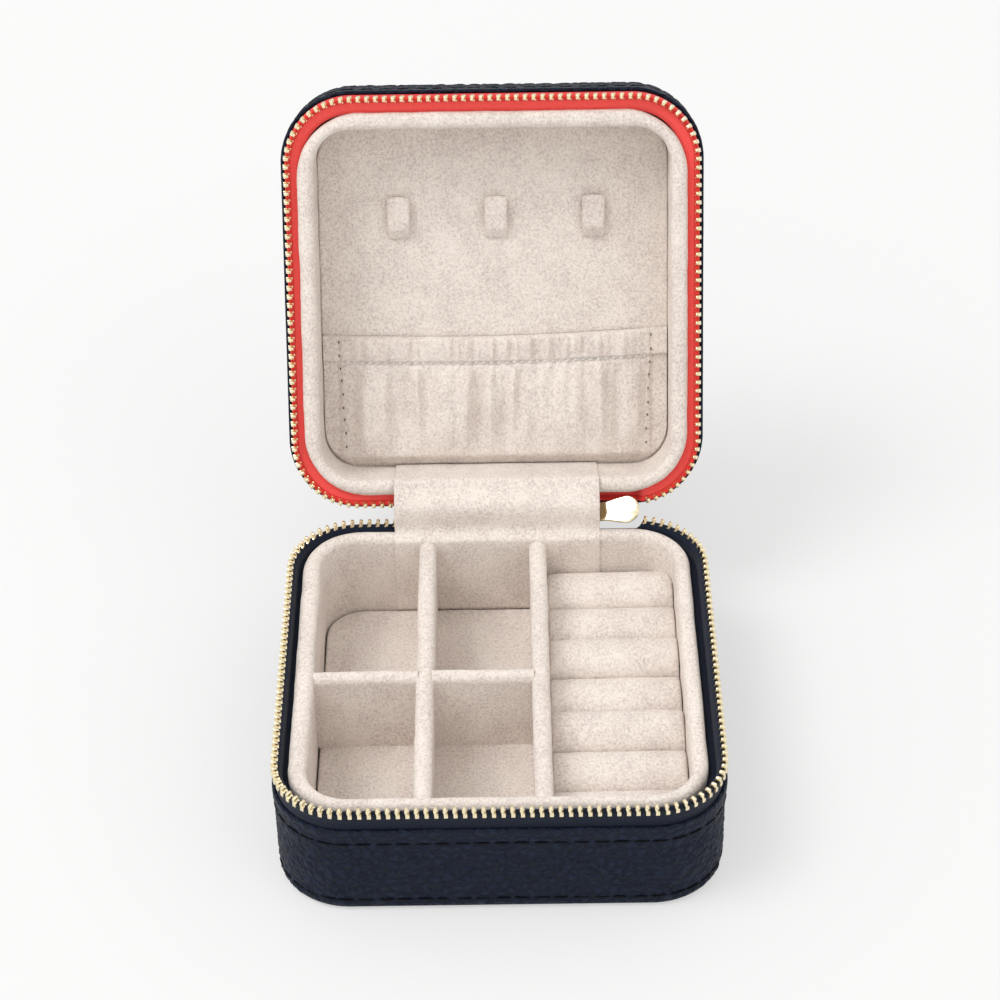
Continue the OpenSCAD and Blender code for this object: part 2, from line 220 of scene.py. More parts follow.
class CaseStudio(bpy.types.PropertyGroup):
    """Camera and light"""

    azimuth: FloatProperty(
        name="Azimuth",
        description="Turn of the camera round the case",
        subtype="ANGLE",
        default=math.radians(0.171),
    )
    elevation: FloatProperty(
        name="Elevation",
        description="Height of the camera over the floor",
        subtype="ANGLE",
        default=math.radians(38.135),
    )
    roll: FloatProperty(
        name="Roll",
        description="Turn of the camera about its own line of sight",
        subtype="ANGLE",
        default=math.radians(-0.88),
    )
    distance: FloatProperty(
        name="Distance",
        description="Distance from the camera to the point that it looks at",
        unit="LENGTH",
        default=0.6589,
    )
    target: FloatVectorProperty(
        name="Target",
        description="Point that the camera looks at",
        subtype="XYZ",
        size=3,
        default=(0.00077, 0.0438, 0.04039),
    )
    lens: FloatProperty(
        name="Lens", description="Focal length on a 36 mm sensor", default=100.24
    )
    sky: FloatProperty(name="Sky", description="Strength of the even light", default=0.92)
    key: FloatProperty(name="Key", description="Power of the large soft light", default=35.0)


# ---- mesh helpers ----


def body_piece(name, verts, faces, material, body, nodes=(), uv=None, smooth=True):
    """New piece from points in millimetres, riding on a body and standing for CAD nodes."""
    mesh = bpy.data.meshes.new(name)
    mesh.from_pydata((np.asarray(verts, float) * MM).tolist(), [], faces)
    mesh.validate()
    if uv is not None:
        layer = mesh.uv_layers.new(name="cloth")
        layer.data.foreach_set("uv", np.asarray(uv, np.float32).ravel())
    mesh.update()
    piece = bpy.data.objects.new(name, mesh)
    bpy.context.scene.collection.objects.link(piece)
    if smooth:
        mesh.shade_smooth()
    mesh.materials.append(material)
    if body:
        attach(piece, body)
    if nodes:
        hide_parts(*nodes)
    return piece


def grid_faces(nu, nv, wrap_u=False, wrap_v=False, first=0):
    """Quads over a grid of nu by nv points, stored row by row."""
    i = np.arange(nu if wrap_u else nu - 1)
    j = np.arange(nv if wrap_v else nv - 1)
    i, j = [a.ravel() for a in np.meshgrid(i, j, indexing="ij")]
    i2, j2 = (i + 1) % nu, (j + 1) % nv
    quads = np.stack([i * nv + j, i2 * nv + j, i2 * nv + j2, i * nv + j2], 1) + first
    return quads.tolist()


def grid_uv(lengths, heights):
    """Loop coordinates in millimetres for grid_faces: lengths and heights hold the closing value too."""
    nu = len(lengths) - 1
    nv = len(heights) - 1
    i, j = [a.ravel() for a in np.meshgrid(np.arange(nu), np.arange(nv), indexing="ij")]
    u, v = np.asarray(lengths), np.asarray(heights)
    return np.stack([u[i], v[j], u[i + 1], v[j], u[i + 1], v[j + 1], u[i], v[j + 1]], 1).reshape(-1, 2)


def loft(rings, closed=False):
    """Faces of closed rings joined in order, with a cap at either end of an open loft."""
    n, m = rings.shape[:2]
    faces = grid_faces(n, m, wrap_u=closed, wrap_v=True)
    if not closed:
        faces.append(list(range(m)))
        faces.append(list(range((n - 1) * m, n * m))[::-1])
    return faces


def moved(points, matrix):
    m = np.array(matrix)
    return np.asarray(points) @ m[:3, :3].T + m[:3, 3]


def smooth_step(t):
    t = np.clip(t, 0, 1)
    return t * t * (3 - 2 * t)


def wander(points, size, seed=0.0):
    """Soft noise from -1 to 1 at each point, with bumps about size wide."""
    shift = Vector((seed, seed * 0.7, seed * 1.3))
    return np.array([noise.noise(Vector(p) / size + shift) for p in points])


def pebbles(points, size):
    """Leather grain from 0 in the creases to 1 on the pebbles, the same on every run."""
    noise.seed_set(GRAIN_SEED)
    out = np.empty(len(points))
    for k, p in enumerate(points):
        q = Vector(p) / size
        q += 0.45 * noise.noise_vector(q * 0.8)
        near = noise.voronoi(q)[0]
        out[k] = near[1] - near[0]
    return smooth_step(out * 2.2)


def corner_loop(x0, x1, y0, y1, r, n_x, n_y, n_corner):
    """Round-cornered loop, anticlockwise from the right side: points, outward normals and lengths."""
    points, normals = [], []
    corners = [(x1 - r, y1 - r, 0), (x0 + r, y1 - r, 90), (x0 + r, y0 + r, 180), (x1 - r, y0 + r, 270)]
    for k, (cx, cy, start) in enumerate(corners):
        for a in np.radians(start + 90 * np.arange(n_corner) / n_corner):
            points.append((cx + r * math.cos(a), cy + r * math.sin(a)))
            normals.append((math.cos(a), math.sin(a)))
        nx, ny, _ = corners[(k + 1) % 4]
        a = math.radians(start + 90)
        ends = [np.array((c[0] + r * math.cos(a), c[1] + r * math.sin(a))) for c in ((cx, cy), (nx, ny))]
        count = n_x if k % 2 == 0 else n_y
        for t in np.arange(count) / count:
            points.append(tuple(ends[0] + t * (ends[1] - ends[0])))
            normals.append((math.cos(a), math.sin(a)))
    points, normals = np.array(points), np.array(normals)
    steps = np.linalg.norm(np.roll(points, -1, 0) - points, axis=1)
    return points, normals, np.concatenate([[0], np.cumsum(steps)])


def even_loop(x0, x1, y0, y1, r, step):
    """corner_loop with points about one step apart."""
    counts = [max(2, round(d / step)) for d in (x1 - x0 - 2 * r, y1 - y0 - 2 * r, r * math.pi / 2)]
    return corner_loop(x0, x1, y0, y1, r, *counts)


def arc(cx, cy, r, start, end, n):
    """Points of a round stretch, angles in degrees."""
    a = np.radians(np.linspace(start, end, n))
    return [(cx + r * math.cos(t), cy + r * math.sin(t)) for t in a]


def filled(outline, step):
    """Outline points with the long gaps between them filled in, one step apart."""
    out = []
    for p, q in zip(outline, outline[1:] + outline[:1]):
        p, q = np.array(p), np.array(q)
        count = max(1, int(np.linalg.norm(q - p) / step))
        out += [tuple(p + (q - p) * k / count) for k in range(count)]
    return out


def smooth_path(points, per_span):
    """Catmull-Rom curve through 2-D or 3-D points."""
    p = np.array(points, float)
    p = np.vstack([2 * p[0] - p[1], p, 2 * p[-1] - p[-2]])
    out = []
    for a, b, c, d in zip(p, p[1:], p[2:], p[3:]):
        for t in np.arange(per_span) / per_span:
            out.append(
                0.5 * (2 * b + (c - a) * t + (2 * a - 5 * b + 4 * c - d) * t**2 + (3 * b - a - 3 * c + d) * t**3)
            )
    return np.array(out + [p[-2]])


# ---- materials ----


def new_material(name, roughness, **sockets):
    """Material whose even values stand on the shader's own sockets."""
    mat = bpy.data.materials.new(name)
    mat.use_nodes = True
    shader = mat.node_tree.nodes["Principled BSDF"]
    shader.inputs["Roughness"].default_value = roughness
    for key, value in sockets.items():
        shader.inputs[key.replace("_", " ")].default_value = value
    return mat, mat.node_tree, shader


def node(tree, kind, settings=None, **inputs):
    made = tree.nodes.new(kind)
    for key, value in (settings or {}).items():
        setattr(made, key, value)
    for key, value in inputs.items():
        socket = made.inputs[key.replace("_", " ")]
        if isinstance(value, bpy.types.NodeSocket):
            tree.links.new(value, socket)
        else:
            socket.default_value = value
    return made


def place(tree, scale=(1, 1, 1), uv=False):
    """Texture place in millimetres, from the piece's own points or from its cloth map."""
    if uv:
        source = node(tree, "ShaderNodeUVMap", {"uv_map": "cloth"}).outputs["UV"]
    else:
        source = node(tree, "ShaderNodeTexCoord").outputs["Object"]
        scale = [s / MM for s in scale]
    return node(tree, "ShaderNodeMapping", Vector=source, Scale=scale).outputs["Vector"]


def cloud(tree, where, scale, detail=2.0, rough=0.5):
    return node(
        tree, "ShaderNodeTexNoise", Vector=where, Scale=scale, Detail=detail, Roughness=rough
    ).outputs["Fac"]


def maths(tree, operation, a, b=0.0):
    made = tree.nodes.new("ShaderNodeMath")
    made.operation = operation
    for k, value in enumerate((a, b)):
        if isinstance(value, bpy.types.NodeSocket):
            tree.links.new(value, made.inputs[k])
        else:
            made.inputs[k].default_value = value
    return made.outputs[0]


def tones(tree, shader, fac, dark, light, low=0.3, high=0.7):
    """Colours the shader from dark to light as fac goes from low to high."""
    ramp = node(tree, "ShaderNodeValToRGB", Fac=fac)
    for element, at, colour in zip(ramp.color_ramp.elements, (low, high), (dark, light)):
        element.position = at
        element.color = (*colour, 1)
    tree.links.new(ramp.outputs["Color"], shader.inputs["Base Color"])


def rough_range(tree, shader, fac, low, high):
    spread = node(tree, "ShaderNodeMapRange", Value=fac, To_Min=low, To_Max=high)
    tree.links.new(spread.outputs["Result"], shader.inputs["Roughness"])


def relief(tree, shader, layers):
    """Bump from (height, depth in millimetres) layers."""
    normal = None
    for height, depth in layers:
        made = node(tree, "ShaderNodeBump", Height=height, Distance=depth * MM, Strength=1.0)
        if normal is not None:
            tree.links.new(normal, made.inputs["Normal"])
        normal = made.outputs["Normal"]
    tree.links.new(normal, shader.inputs["Normal"])


def shade(colour, factor):
    return tuple(min(1.0, c * factor) for c in colour)


def leather_material(colours):
    """Pebbled leather: soft bumped pebbles, with painted shade in the creases and painted highlight on the pebble
    tops, over random patches of tone.
    """
    mat, tree, shader = new_material("navy_leather", 0.5, Specular_IOR_Level=0.16)
    where = place(tree)
    bend = node(tree, "ShaderNodeTexNoise", Vector=where, Scale=0.4, Detail=1.0).outputs["Color"]
    bent = node(
        tree, "ShaderNodeVectorMath", {"operation": "MULTIPLY_ADD"}
    )
    tree.links.new(bend, bent.inputs[0])
    bent.inputs[1].default_value = (2.2, 2.2, 2.2)
    tree.links.new(where, bent.inputs[2])
    cells = node(
        tree,
        "ShaderNodeTexVoronoi",
        {"feature": "DISTANCE_TO_EDGE"},
        Vector=bent.outputs["Vector"],
        Scale=0.42,
    ).outputs["Distance"]
    pores = cloud(tree, where, 2.6, 4, 0.65)
    patches = cloud(tree, where, 0.3, 3)
    height = node(tree, "ShaderNodeMapRange", {"interpolation_type": "SMOOTHSTEP"}, Value=cells, From_Max=0.34)
    pebble = height.outputs["Result"]
    # painted shade and highlight: the pebble mask darkens the creases and lightens the pebble tops; the patches are
    # the leather's own uneven tone
    mixed = maths(tree, "ADD", maths(tree, "MULTIPLY", pebble, 0.45), maths(tree, "MULTIPLY", patches, 0.55))
    tones(tree, shader, mixed, shade(colours.leather, 0.6), shade(colours.leather, 1.5), 0.2, 0.85)
    rough_range(tree, shader, pores, 0.4, 0.62)
    relief(tree, shader, [(pebble, 0.34), (pores, 0.12)])
    return mat


def suede_material(colours):
    """Brushed suede: a fine speckled nap over long faint strokes."""
    mat, tree, shader = new_material(
        "suede", 0.95, Specular_IOR_Level=0.1, Sheen_Weight=0.3, Sheen_Roughness=0.5
    )
    shader.inputs["Sheen Tint"].default_value = (1.0, 0.95, 0.92, 1)
    nap = cloud(tree, place(tree, (1.0, 0.8, 1.0)), 1.7, 4, 0.8)
    strokes = cloud(tree, place(tree, (1.0, 0.45, 0.8)), 0.16, 3, 0.55)
    mixed = maths(tree, "ADD", maths(tree, "MULTIPLY", nap, 0.8), maths(tree, "MULTIPLY", strokes, 0.2))
    tones(tree, shader, mixed, shade(colours.suede, 0.66), shade(colours.suede, 1.1), 0.36, 0.56)
    relief(tree, shader, [(nap, size("nap"))])
    return mat


def tape_material(name, colour, dark, band=None):
    """Twill tape: slanting ribs in columns along the tape, with a paler band past its fold and a thin painted shade
    line along the fold.
    """
    mat, tree, shader = new_material(name, 0.75, Specular_IOR_Level=0.15, Sheen_Weight=0.1)
    where = place(tree, uv=True)
    split = node(tree, "ShaderNodeSeparateXYZ", Vector=where)
    along, across = split.outputs["X"], split.outputs["Y"]
    zigzag = maths(tree, "PINGPONG", across, 0.95)
    slant = maths(tree, "ADD", along, zigzag)
    ribs = maths(tree, "SINE", maths(tree, "MULTIPLY", slant, 2 * math.pi / 0.72))
    threads = maths(tree, "SINE", maths(tree, "MULTIPLY", across, 2 * math.pi / 0.36))
    weave = maths(tree, "ADD", maths(tree, "MULTIPLY", ribs, 0.3), maths(tree, "MULTIPLY", threads, 0.1))
    fuzz = cloud(tree, where, 2.5, 3)
    fac = maths(tree, "ADD", weave, fuzz)
    tones(tree, shader, fac, shade(colour, dark), colour, 0.25, 0.7)
    if band:
        pale = node(tree, "ShaderNodeMapRange", Value=across, From_Min=FOLD - 0.05, From_Max=FOLD + 0.3)
        # painted shade: a thin near-black line along the fold stands in for the shadow in its crease
        gap = maths(tree, "ABSOLUTE", maths(tree, "SUBTRACT", across, FOLD))
        line = node(tree, "ShaderNodeMapRange", Value=gap, From_Min=0.1, From_Max=0.22)
        woven = shader.inputs["Base Color"].links[0].from_socket
        paler = mix_colours(tree, pale.outputs["Result"], woven, band)
        with_painted_fold_shade = mix_colours(tree, line.outputs["Result"], shade(colour, 0.12), paler)
        tree.links.new(with_painted_fold_shade, shader.inputs["Base Color"])
    relief(tree, shader, [(weave, 0.16), (fuzz, 0.06)])
    return mat


def mix_colours(tree, fac, first, second):
    """Colour that goes from first to second as fac goes from 0 to 1."""
    made = node(tree, "ShaderNodeMix", {"data_type": "RGBA"})
    tree.links.new(fac, made.inputs["Factor"])
    for socket, value in zip([k for k in made.inputs if k.type == "RGBA"], (first, second)):
        if isinstance(value, bpy.types.NodeSocket):
            tree.links.new(value, socket)
        else:
            socket.default_value = (*value, 1)
    return next(k for k in made.outputs if k.type == "RGBA")


def gold_material(colours, name, roughness, scuff):
    mat, tree, shader = new_material(name, roughness, Metallic=1.0)
    where = place(tree)
    marks = cloud(tree, where, 1.6, 4, 0.7)
    tones(tree, shader, marks, shade(colours.gold, 0.86), shade(colours.gold, 1.08))
    rough_range(tree, shader, marks, roughness * 0.7, roughness * 1.5)
    relief(tree, shader, [(marks, scuff)])
    return mat


def thread_material(name, colour, gloss=0.55):
    mat, tree, shader = new_material(name, gloss, Specular_IOR_Level=0.15)
    twist = cloud(tree, place(tree, (1, 1, 1)), 5.0, 2)
    tones(tree, shader, twist, shade(colour, 0.7), shade(colour, 1.3))
    relief(tree, shader, [(twist, 0.05)])
    return mat


def plain_material(name, colour, roughness, grain, depth):
    """Board, foam or rubber: a mottled colour over a fine rough face."""
    mat, tree, shader = new_material(name, roughness)
    specks = cloud(tree, place(tree), grain, 4, 0.7)
    tones(tree, shader, specks, shade(colour, 0.8), shade(colour, 1.1))
    relief(tree, shader, [(specks, depth)])
    return mat


MATERIALS = {}


def make_materials():
    colours = bpy.context.scene.case_colours
    MATERIALS.update(
        leather=leather_material(colours),
        suede=suede_material(colours),
        red_tape=tape_material("red_tape", colours.red, 0.7, band=(1.0, 0.11, 0.1)),
        navy_tape=tape_material("navy_tape", colours.navy, 0.1),
        teeth=gold_material(colours, "zip_teeth_gold", 0.2, 0.02),
        polished=gold_material(colours, "polished_gold", 0.07, 0.004),
        navy_thread=thread_material("navy_thread", (0.002, 0.002, 0.003), 0.7),
        white_thread=thread_material("white_thread", (0.9, 0.87, 0.83), 0.4),
        grey_thread=thread_material("grey_thread", (0.16, 0.13, 0.12)),
        board=plain_material("greyboard", (0.33, 0.3, 0.26), 0.9, 1.2, 0.08),
        foam=plain_material("foam", (0.8, 0.78, 0.7), 0.95, 2.0, 0.15),
        elastic=plain_material("elastic", (0.8, 0.76, 0.7), 0.8, 1.8, 0.1),
    )


# ---- leather ----


def leather_wall(name, z_rim, z_face, node_name, body, matrix):
    """Leather round the case: a turned rim at the zip, two stitched grooves and a turned edge at the face."""
    way = 1 if z_face > z_rim else -1
    height = abs(z_face - z_rim)
    thick = 1.0
    # heights are measured from the rim; the outline runs down outside and back up inside
    edge, turn = thick / 2, EDGE_R
    outline = arc(-edge, edge, edge, 180, 360, 8)
    outline += arc(-turn, height - turn, turn, 0, 90, 8)
    outline += [(-turn - 0.8, height), (-turn - 0.8, height - 0.9), (-thick, height - turn - 0.9)]
    profile = np.array(filled(outline, 0.5))
    points, normals, lengths = even_loop(-HALF_X, HALF_X, -HALF_Y, HALF_Y, CORNER_R, 0.5)
    out, down = profile[:, 0], profile[:, 1]
    n, m = len(points), len(profile)
    off_wall = out - SLIM[body] * smooth_step(down / 9.0) - RIM_IN[body]
    xy = points[:, None] + normals[:, None] * off_wall[None, :, None]
    z = z_rim + way * down
    shell = np.dstack([xy, np.broadcast_to(z, (n, m))])
    outer = (out > -0.3) & (down > 0.3)
    seams = (size("upper_seam"), height - size("lower_seam"))
    spread = np.exp(-(((down - seams[0]) / 0.42) ** 2)) + np.exp(-(((down - seams[1]) / 0.42) ** 2))
    belly = np.clip((down - seams[0]) / (seams[1] - seams[0]), 0, 1)
    puff = 0.12 * np.sin(math.pi * belly) ** 0.6 - 0.22 * spread
    face = np.clip((height - down) / 1.5, 0, 1) * np.clip((down - 0.4) / 1.0, 0, 1)
    flat = shell[:, outer].reshape(-1, 3)
    grain = pebbles(flat, size("grain")).reshape(n, -1) - 0.6
    swell = wander(flat, 9.0).reshape(n, -1)
    calm = (0.45 + 0.55 * smooth_step((down[outer] - seams[0]) / 1.5)) * (1 - 0.75 * np.clip(spread[outer], 0, 1))
    lift = size("grain_depth") * grain * calm + 0.12 * swell + puff[outer]
    lift *= face[outer]
    shell[:, outer, :2] += normals[:, None] * lift[..., None]
    faces = grid_faces(n, m, True, True)
    if way < 0:
        faces = [f[::-1] for f in faces]
    uv = grid_uv(lengths, np.arange(m + 1) * 0.5)
    return body_piece(
        name, moved(shell.reshape(-1, 3), matrix), faces, MATERIALS["leather"], body,
        [node_name], uv,
    )


def stitch_row(name, places, material, body, length, radius, matrix=Matrix.Identity(4)):
    """Separate thread stitches; places holds (point, direction, outward) for each."""
    rings, sides = 7, 6
    verts, faces = [], []
    t = np.linspace(-1, 1, rings)
    width = radius * np.sqrt(np.clip(1 - np.abs(t) ** 5, 0.05, 1))
    rise = 0.14 - 0.42 * np.abs(t) ** 4
    turn = np.arange(sides) * 2 * math.pi / sides
    for point, along, out in places:
        side = np.cross(along, out)
        for k in range(rings):
            centre = np.array(point) + np.array(along) * t[k] * length / 2 + np.array(out) * rise[k] * radius * 3
            for a in turn:
                verts.append(centre + width[k] * (math.cos(a) * np.array(out) + math.sin(a) * side))
    per = rings * sides
    one = loft(np.zeros((rings, sides, 3)))
    for k in range(len(places)):
        faces += [[v + k * per for v in f] for f in one]
    return body_piece(name, moved(verts, matrix), faces, material, body)


def wall_stitches(name, z, body, matrix, inward):
    pitch = size("stitch_pitch")
    points, normals, lengths = even_loop(-HALF_X, HALF_X, -HALF_Y, HALF_Y, CORNER_R, 0.5)
    count = round(lengths[-1] / pitch)
    places = []
    for k in range(count):
        i = int(np.searchsorted(lengths, (k + 0.5) * lengths[-1] / count)) % len(points)
        out = np.array([*normals[i], 0])
        along = np.array([-out[1], out[0], 0])
        places.append((np.array([*points[i], z]) - out * (0.32 + inward), along, out))
    return stitch_row(
        name, places, MATERIALS["navy_thread"], body, pitch * 0.86, 0.19, matrix
    )


def case_sheet(name, node_name, body, matrix, z_face, z_back, fine):
    """Leather over the top or bottom board, pebbled on its outer face."""
    lo, hi = (lid_box if body == "lid" else cad_box)(node_name)
    inward = max(0.0, EDGE_R + SLIM[body] + 0.4 - (HALF_X - hi[0]))
    lo, hi = lo + inward, hi - inward
    r = CORNER_R - (HALF_X - hi[0])
    step = 0.6 if fine else 2.5
    way = 1 if z_face > z_back else -1
    rows = edge_spread(lo[1], hi[1], step)
    cols = edge_spread(-1, 1, step / hi[0])
    half = half_width(rows, lo[1], hi[1], hi[0], r)
    x = half[:, None] * cols[None]
    y = np.broadcast_to(rows[:, None], x.shape)
    inset = plate_edge(x, y, lo[1], hi[1], hi[0], r)
    drop = 0.5 - np.sqrt(np.clip(0.25 - (0.5 - np.clip(inset, 0, 0.5)) ** 2, 0, 1))
    z = z_face - way * drop
    top = np.dstack([x, y, z])
    flat = top.reshape(-1, 3)
    if fine:
        calm = np.clip(inset.ravel() / 1.5, 0, 1)
        flat[:, 2] += way * calm * size("grain_depth") * (pebbles(flat, size("grain")) - 0.8)
        flat[:, 2] += way * 0.1 * calm * wander(flat, 11.0)
    under = flat.copy()
    under[:, 2] = z_back
    return closed_slab(
        name, flat, under, len(rows), len(cols), MATERIALS["leather"], body,
        [node_name], matrix,
    )


def edge_spread(lo, hi, step):
    """Places from lo to hi, closer together at both ends."""
    count = max(6, round((hi - lo) / step))
    t = np.linspace(0, 1, count + 1)
    near = np.array([0.08, 0.22, 0.42, 0.68]) / count
    t = np.concatenate([t, near, 1 - near])
    return lo + (hi - lo) * np.unique(t)


def half_width(rows, y0, y1, half, r):
    """Half width of a round-cornered plate at each row."""
    into = np.clip(np.maximum(y0 + r - rows, rows - (y1 - r)), 0, r)
    return half - r + np.sqrt(r * r - into * into)


def plate_edge(x, y, y0, y1, half, r):
    """Distance in from the edge of a round-cornered plate."""
    ax = np.abs(x) - (half - r)
    ay = np.maximum(y0 + r - y, y - (y1 - r))
    corner = np.hypot(np.maximum(ax, 0), np.maximum(ay, 0))
    return r - np.maximum(corner, np.maximum(ax, ay))


def closed_slab(name, top, under, n, m, material, body, nodes, matrix):
    """Two matching grids of points joined round their edges into one closed piece."""
    faces = grid_faces(n, m)
    back = [[v + n * m for v in f[::-1]] for f in faces]
    rim = [i * m for i in range(n)] + [(n - 1) * m + j for j in range(1, m)]
    rim += [i * m + m - 1 for i in range(n - 2, -1, -1)] + [j for j in range(m - 2, 0, -1)]
    side = [[a, b, b + n * m, a + n * m] for a, b in zip(rim, rim[1:] + rim[:1])]
    faces = faces + back + [f[::-1] for f in side]
    verts = np.vstack([top, under])
    piece = body_piece(name, moved(verts, matrix), faces, material, body, nodes)
    tidy_normals(piece)
    return piece


def tidy_normals(piece):
    work = bmesh.new()
    work.from_mesh(piece.data)
    bmesh.ops.recalc_face_normals(work, faces=work.faces)
    work.to_mesh(piece.data)
    work.free()


# ---- zip ----

ZIP_X, ZIP_Y = HALF_X - ZIP_INSET, HALF_Y - ZIP_INSET
ZIP_R = CORNER_R - ZIP_INSET
SIDE_X, SIDE_Y = ZIP_X - ZIP_R, ZIP_Y - ZIP_R
ARC = math.pi / 2 * ZIP_R
ROW_LEAD = 2.4  # first tooth, along the back right corner
PARK_X = 13.2  # the parked slider's stretch starts here
FLARE = {"base": 0.35, "lid": -0.35}  # the tape leans this far out at its teeth
TAPE_TOP = 28.95  # height of the base tape's upper edge
SLIDER_DIP, PULL_DIP = 2.9, 2.3  # how far it dips at the parked slider and beside the pull
FOLD = 13.3  # from the deep edge of a tape up and over to its fold beside the teeth
ZIP_RUNS = [
    (ARC, (SIDE_X, SIDE_Y), 90),
    (2 * SIDE_Y, (ZIP_X, SIDE_Y), (0, -1)),
    (ARC, (SIDE_X, -SIDE_Y), 0),
    (2 * SIDE_X, (SIDE_X, -ZIP_Y), (-1, 0)),
    (ARC, (-SIDE_X, -SIDE_Y), -90),
    (2 * SIDE_Y, (-ZIP_X, -SIDE_Y), (0, 1)),
    (ARC, (-SIDE_X, SIDE_Y), 180),
    (SIDE_X, (-SIDE_X, ZIP_Y), (1, 0)),
]


def zip_place(s):
    """Point on the zip line, its heading and the direction out of the case, clockwise from the back right."""
    if s < 0:
        return (SIDE_X + s, ZIP_Y), (1, 0), (0, 1)
    for length, start, turn in ZIP_RUNS:
        if s <= length or start == ZIP_RUNS[-1][1]:
            break
        s -= length
    if isinstance(turn, tuple):
        at = (start[0] + s * turn[0], start[1] + s * turn[1])
        return at, turn, (-turn[1], turn[0])
    a = math.radians(turn) - s / ZIP_R
    out = (math.cos(a), math.sin(a))
    return (start[0] + ZIP_R * out[0], start[1] + ZIP_R * out[1]), (out[1], -out[0]), out


def tooth_shape():
    """One tooth about its place on the tape: along the row, out of the case and up from its heel."""
    outline = [(0.46, 0.85), (-0.46, 0.85), (-0.48, 1.55), (-0.44, 1.85), (-0.1, 2.1), (0.0, 2.35), (-0.12, 2.6)]
    outline += [(-0.2, 2.7), (-0.2, 3.0), (-0.02, 3.2), (0.25, 3.25), (0.52, 3.1), (0.68, 2.75)]
    outline += [(0.66, 2.4), (0.5, 2.1), (0.48, 1.7)]
    work = bmesh.new()
    verts = [work.verts.new((x, -0.8, z)) for x, z in outline]
    face = work.faces.new(verts)
    more = bmesh.ops.extrude_face_region(work, geom=[face])["geom"]
    for v in more:
        if isinstance(v, bmesh.types.BMVert):
            v.co.y += 1.6
    bmesh.ops.recalc_face_normals(work, faces=work.faces)
    rims = [e for e in work.edges if abs(e.verts[0].co.y - e.verts[1].co.y) < 0.1]
    bmesh.ops.bevel(work, geom=rims, offset=0.18, segments=2, profile=0.6, affect="EDGES")
    for v in work.verts:  # the head is slimmer than the legs
        if v.co.z > 2.0:
            v.co.y *= 1 - 0.4 * min(1.0, (v.co.z - 2.0) / 1.2)
    verts = np.array([v.co for v in work.verts])
    index = {v: k for k, v in enumerate(work.verts)}
    faces = [[index[v] for v in f.verts] for f in work.faces]
    work.free()
    return verts, faces


def zip_teeth(name, body, node_name, shift, flip, matrix):
    pitch = size("tooth_pitch")
    shape, one = tooth_shape()
    height = TOOTH_HI[2] - TOOTH_LO[2]
    shape = shape * np.array([1, 1, height / 4])
    verts, faces = [], []
    for k in range(bpy.context.scene.case_sizes.tooth_count):
        (x, y), along, out = zip_place(ROW_LEAD + (k + shift) * pitch)
        basis = np.array([[along[0], along[1], 0], [out[0], out[1], 0], [0, 0, 1]])
        lean = FLARE[body]
        placed = shape @ basis + np.array([x + out[0] * lean, y + out[1] * lean, TOOTH_LO[2]])
        if flip:
            placed[:, 2] = 2 * SEAM - placed[:, 2]
        faces += [[v + k * len(shape) for v in f] for f in one]
        verts.append(placed)
    piece = body_piece(
        name, moved(np.vstack(verts), matrix), faces, MATERIALS["teeth"], body,
        [node_name],
    )
    tidy_normals(piece)
    smooth_by_angle(piece, 40)
    return piece


def smooth_by_angle(piece, angle):
    piece.data.shade_smooth()
    piece.data.set_sharp_from_angle(angle=math.radians(angle))


def zip_tape(name, body, node_name, slot, flip, matrix, inner, depth):
    """Woven tape: upright behind the leather, turned in under the teeth and tucked against the lining."""
    step = 0.7
    start = -(SIDE_X - PARK_X)
    end = sum(run[0] for run in ZIP_RUNS) - PARK_X - 0.2
    count = int((end - start) / step)
    lengths = np.linspace(start, end, count)
    tuck = inner - ZIP_INSET
    # (out of the case, down from the tape's top edge), round the tape's thickness
    path = [(0, 11.2), (0, 6), (0, 3.6), (FLARE[body] * 0.7, 1.2), (FLARE[body], 0.0)]
    flap = [(-0.6, 0.35), (-0.9, 1.1), (-1.15, depth), (-tuck * 0.7, depth + 0.15), (-tuck, depth + 0.9)]
    line = np.vstack([smooth_path(path, 4), smooth_path(flap, 4)])
    heading = np.gradient(line, axis=0)
    heading /= np.linalg.norm(heading, axis=1)[:, None]
    side = np.stack([-heading[:, 1], heading[:, 0]], 1) * 0.28
    ring = np.vstack([line + side, (line - side)[::-1]])
    top = TAPE_TOP
    verts = []
    for s in lengths:
        (x, y), _, out = zip_place(s)
        low = 1 - smooth_step((s + 12.0) / 2.5)
        beside_pull = 1 - smooth_step((s - 0.7) / 1.5)
        z = top - max(SLIDER_DIP * low, PULL_DIP * beside_pull) - ring[:, 1]
        if flip:
            z = 2 * SEAM - z
        squeeze = 1 - low * (ring[:, 0] < -0.3)
        verts.append(np.stack([x + out[0] * ring[:, 0] * squeeze, y + out[1] * ring[:, 0] * squeeze, z], 1))
    rings = np.array(verts)
    n, m = rings.shape[:2]
    faces = loft(rings)
    across = np.concatenate([[0], np.cumsum(np.linalg.norm(np.diff(ring, axis=0), axis=1)), [0]])
    across[-1] = across[-2]
    uv = grid_uv(lengths, across)
    caps = np.zeros((2 * m, 2))
    piece = body_piece(
        name, moved(rings.reshape(-1, 3), matrix), faces, MATERIALS[slot], body, [node_name],
        np.vstack([uv, caps]),
    )
    tidy_normals(piece)
    return piece


# ---- lining ----


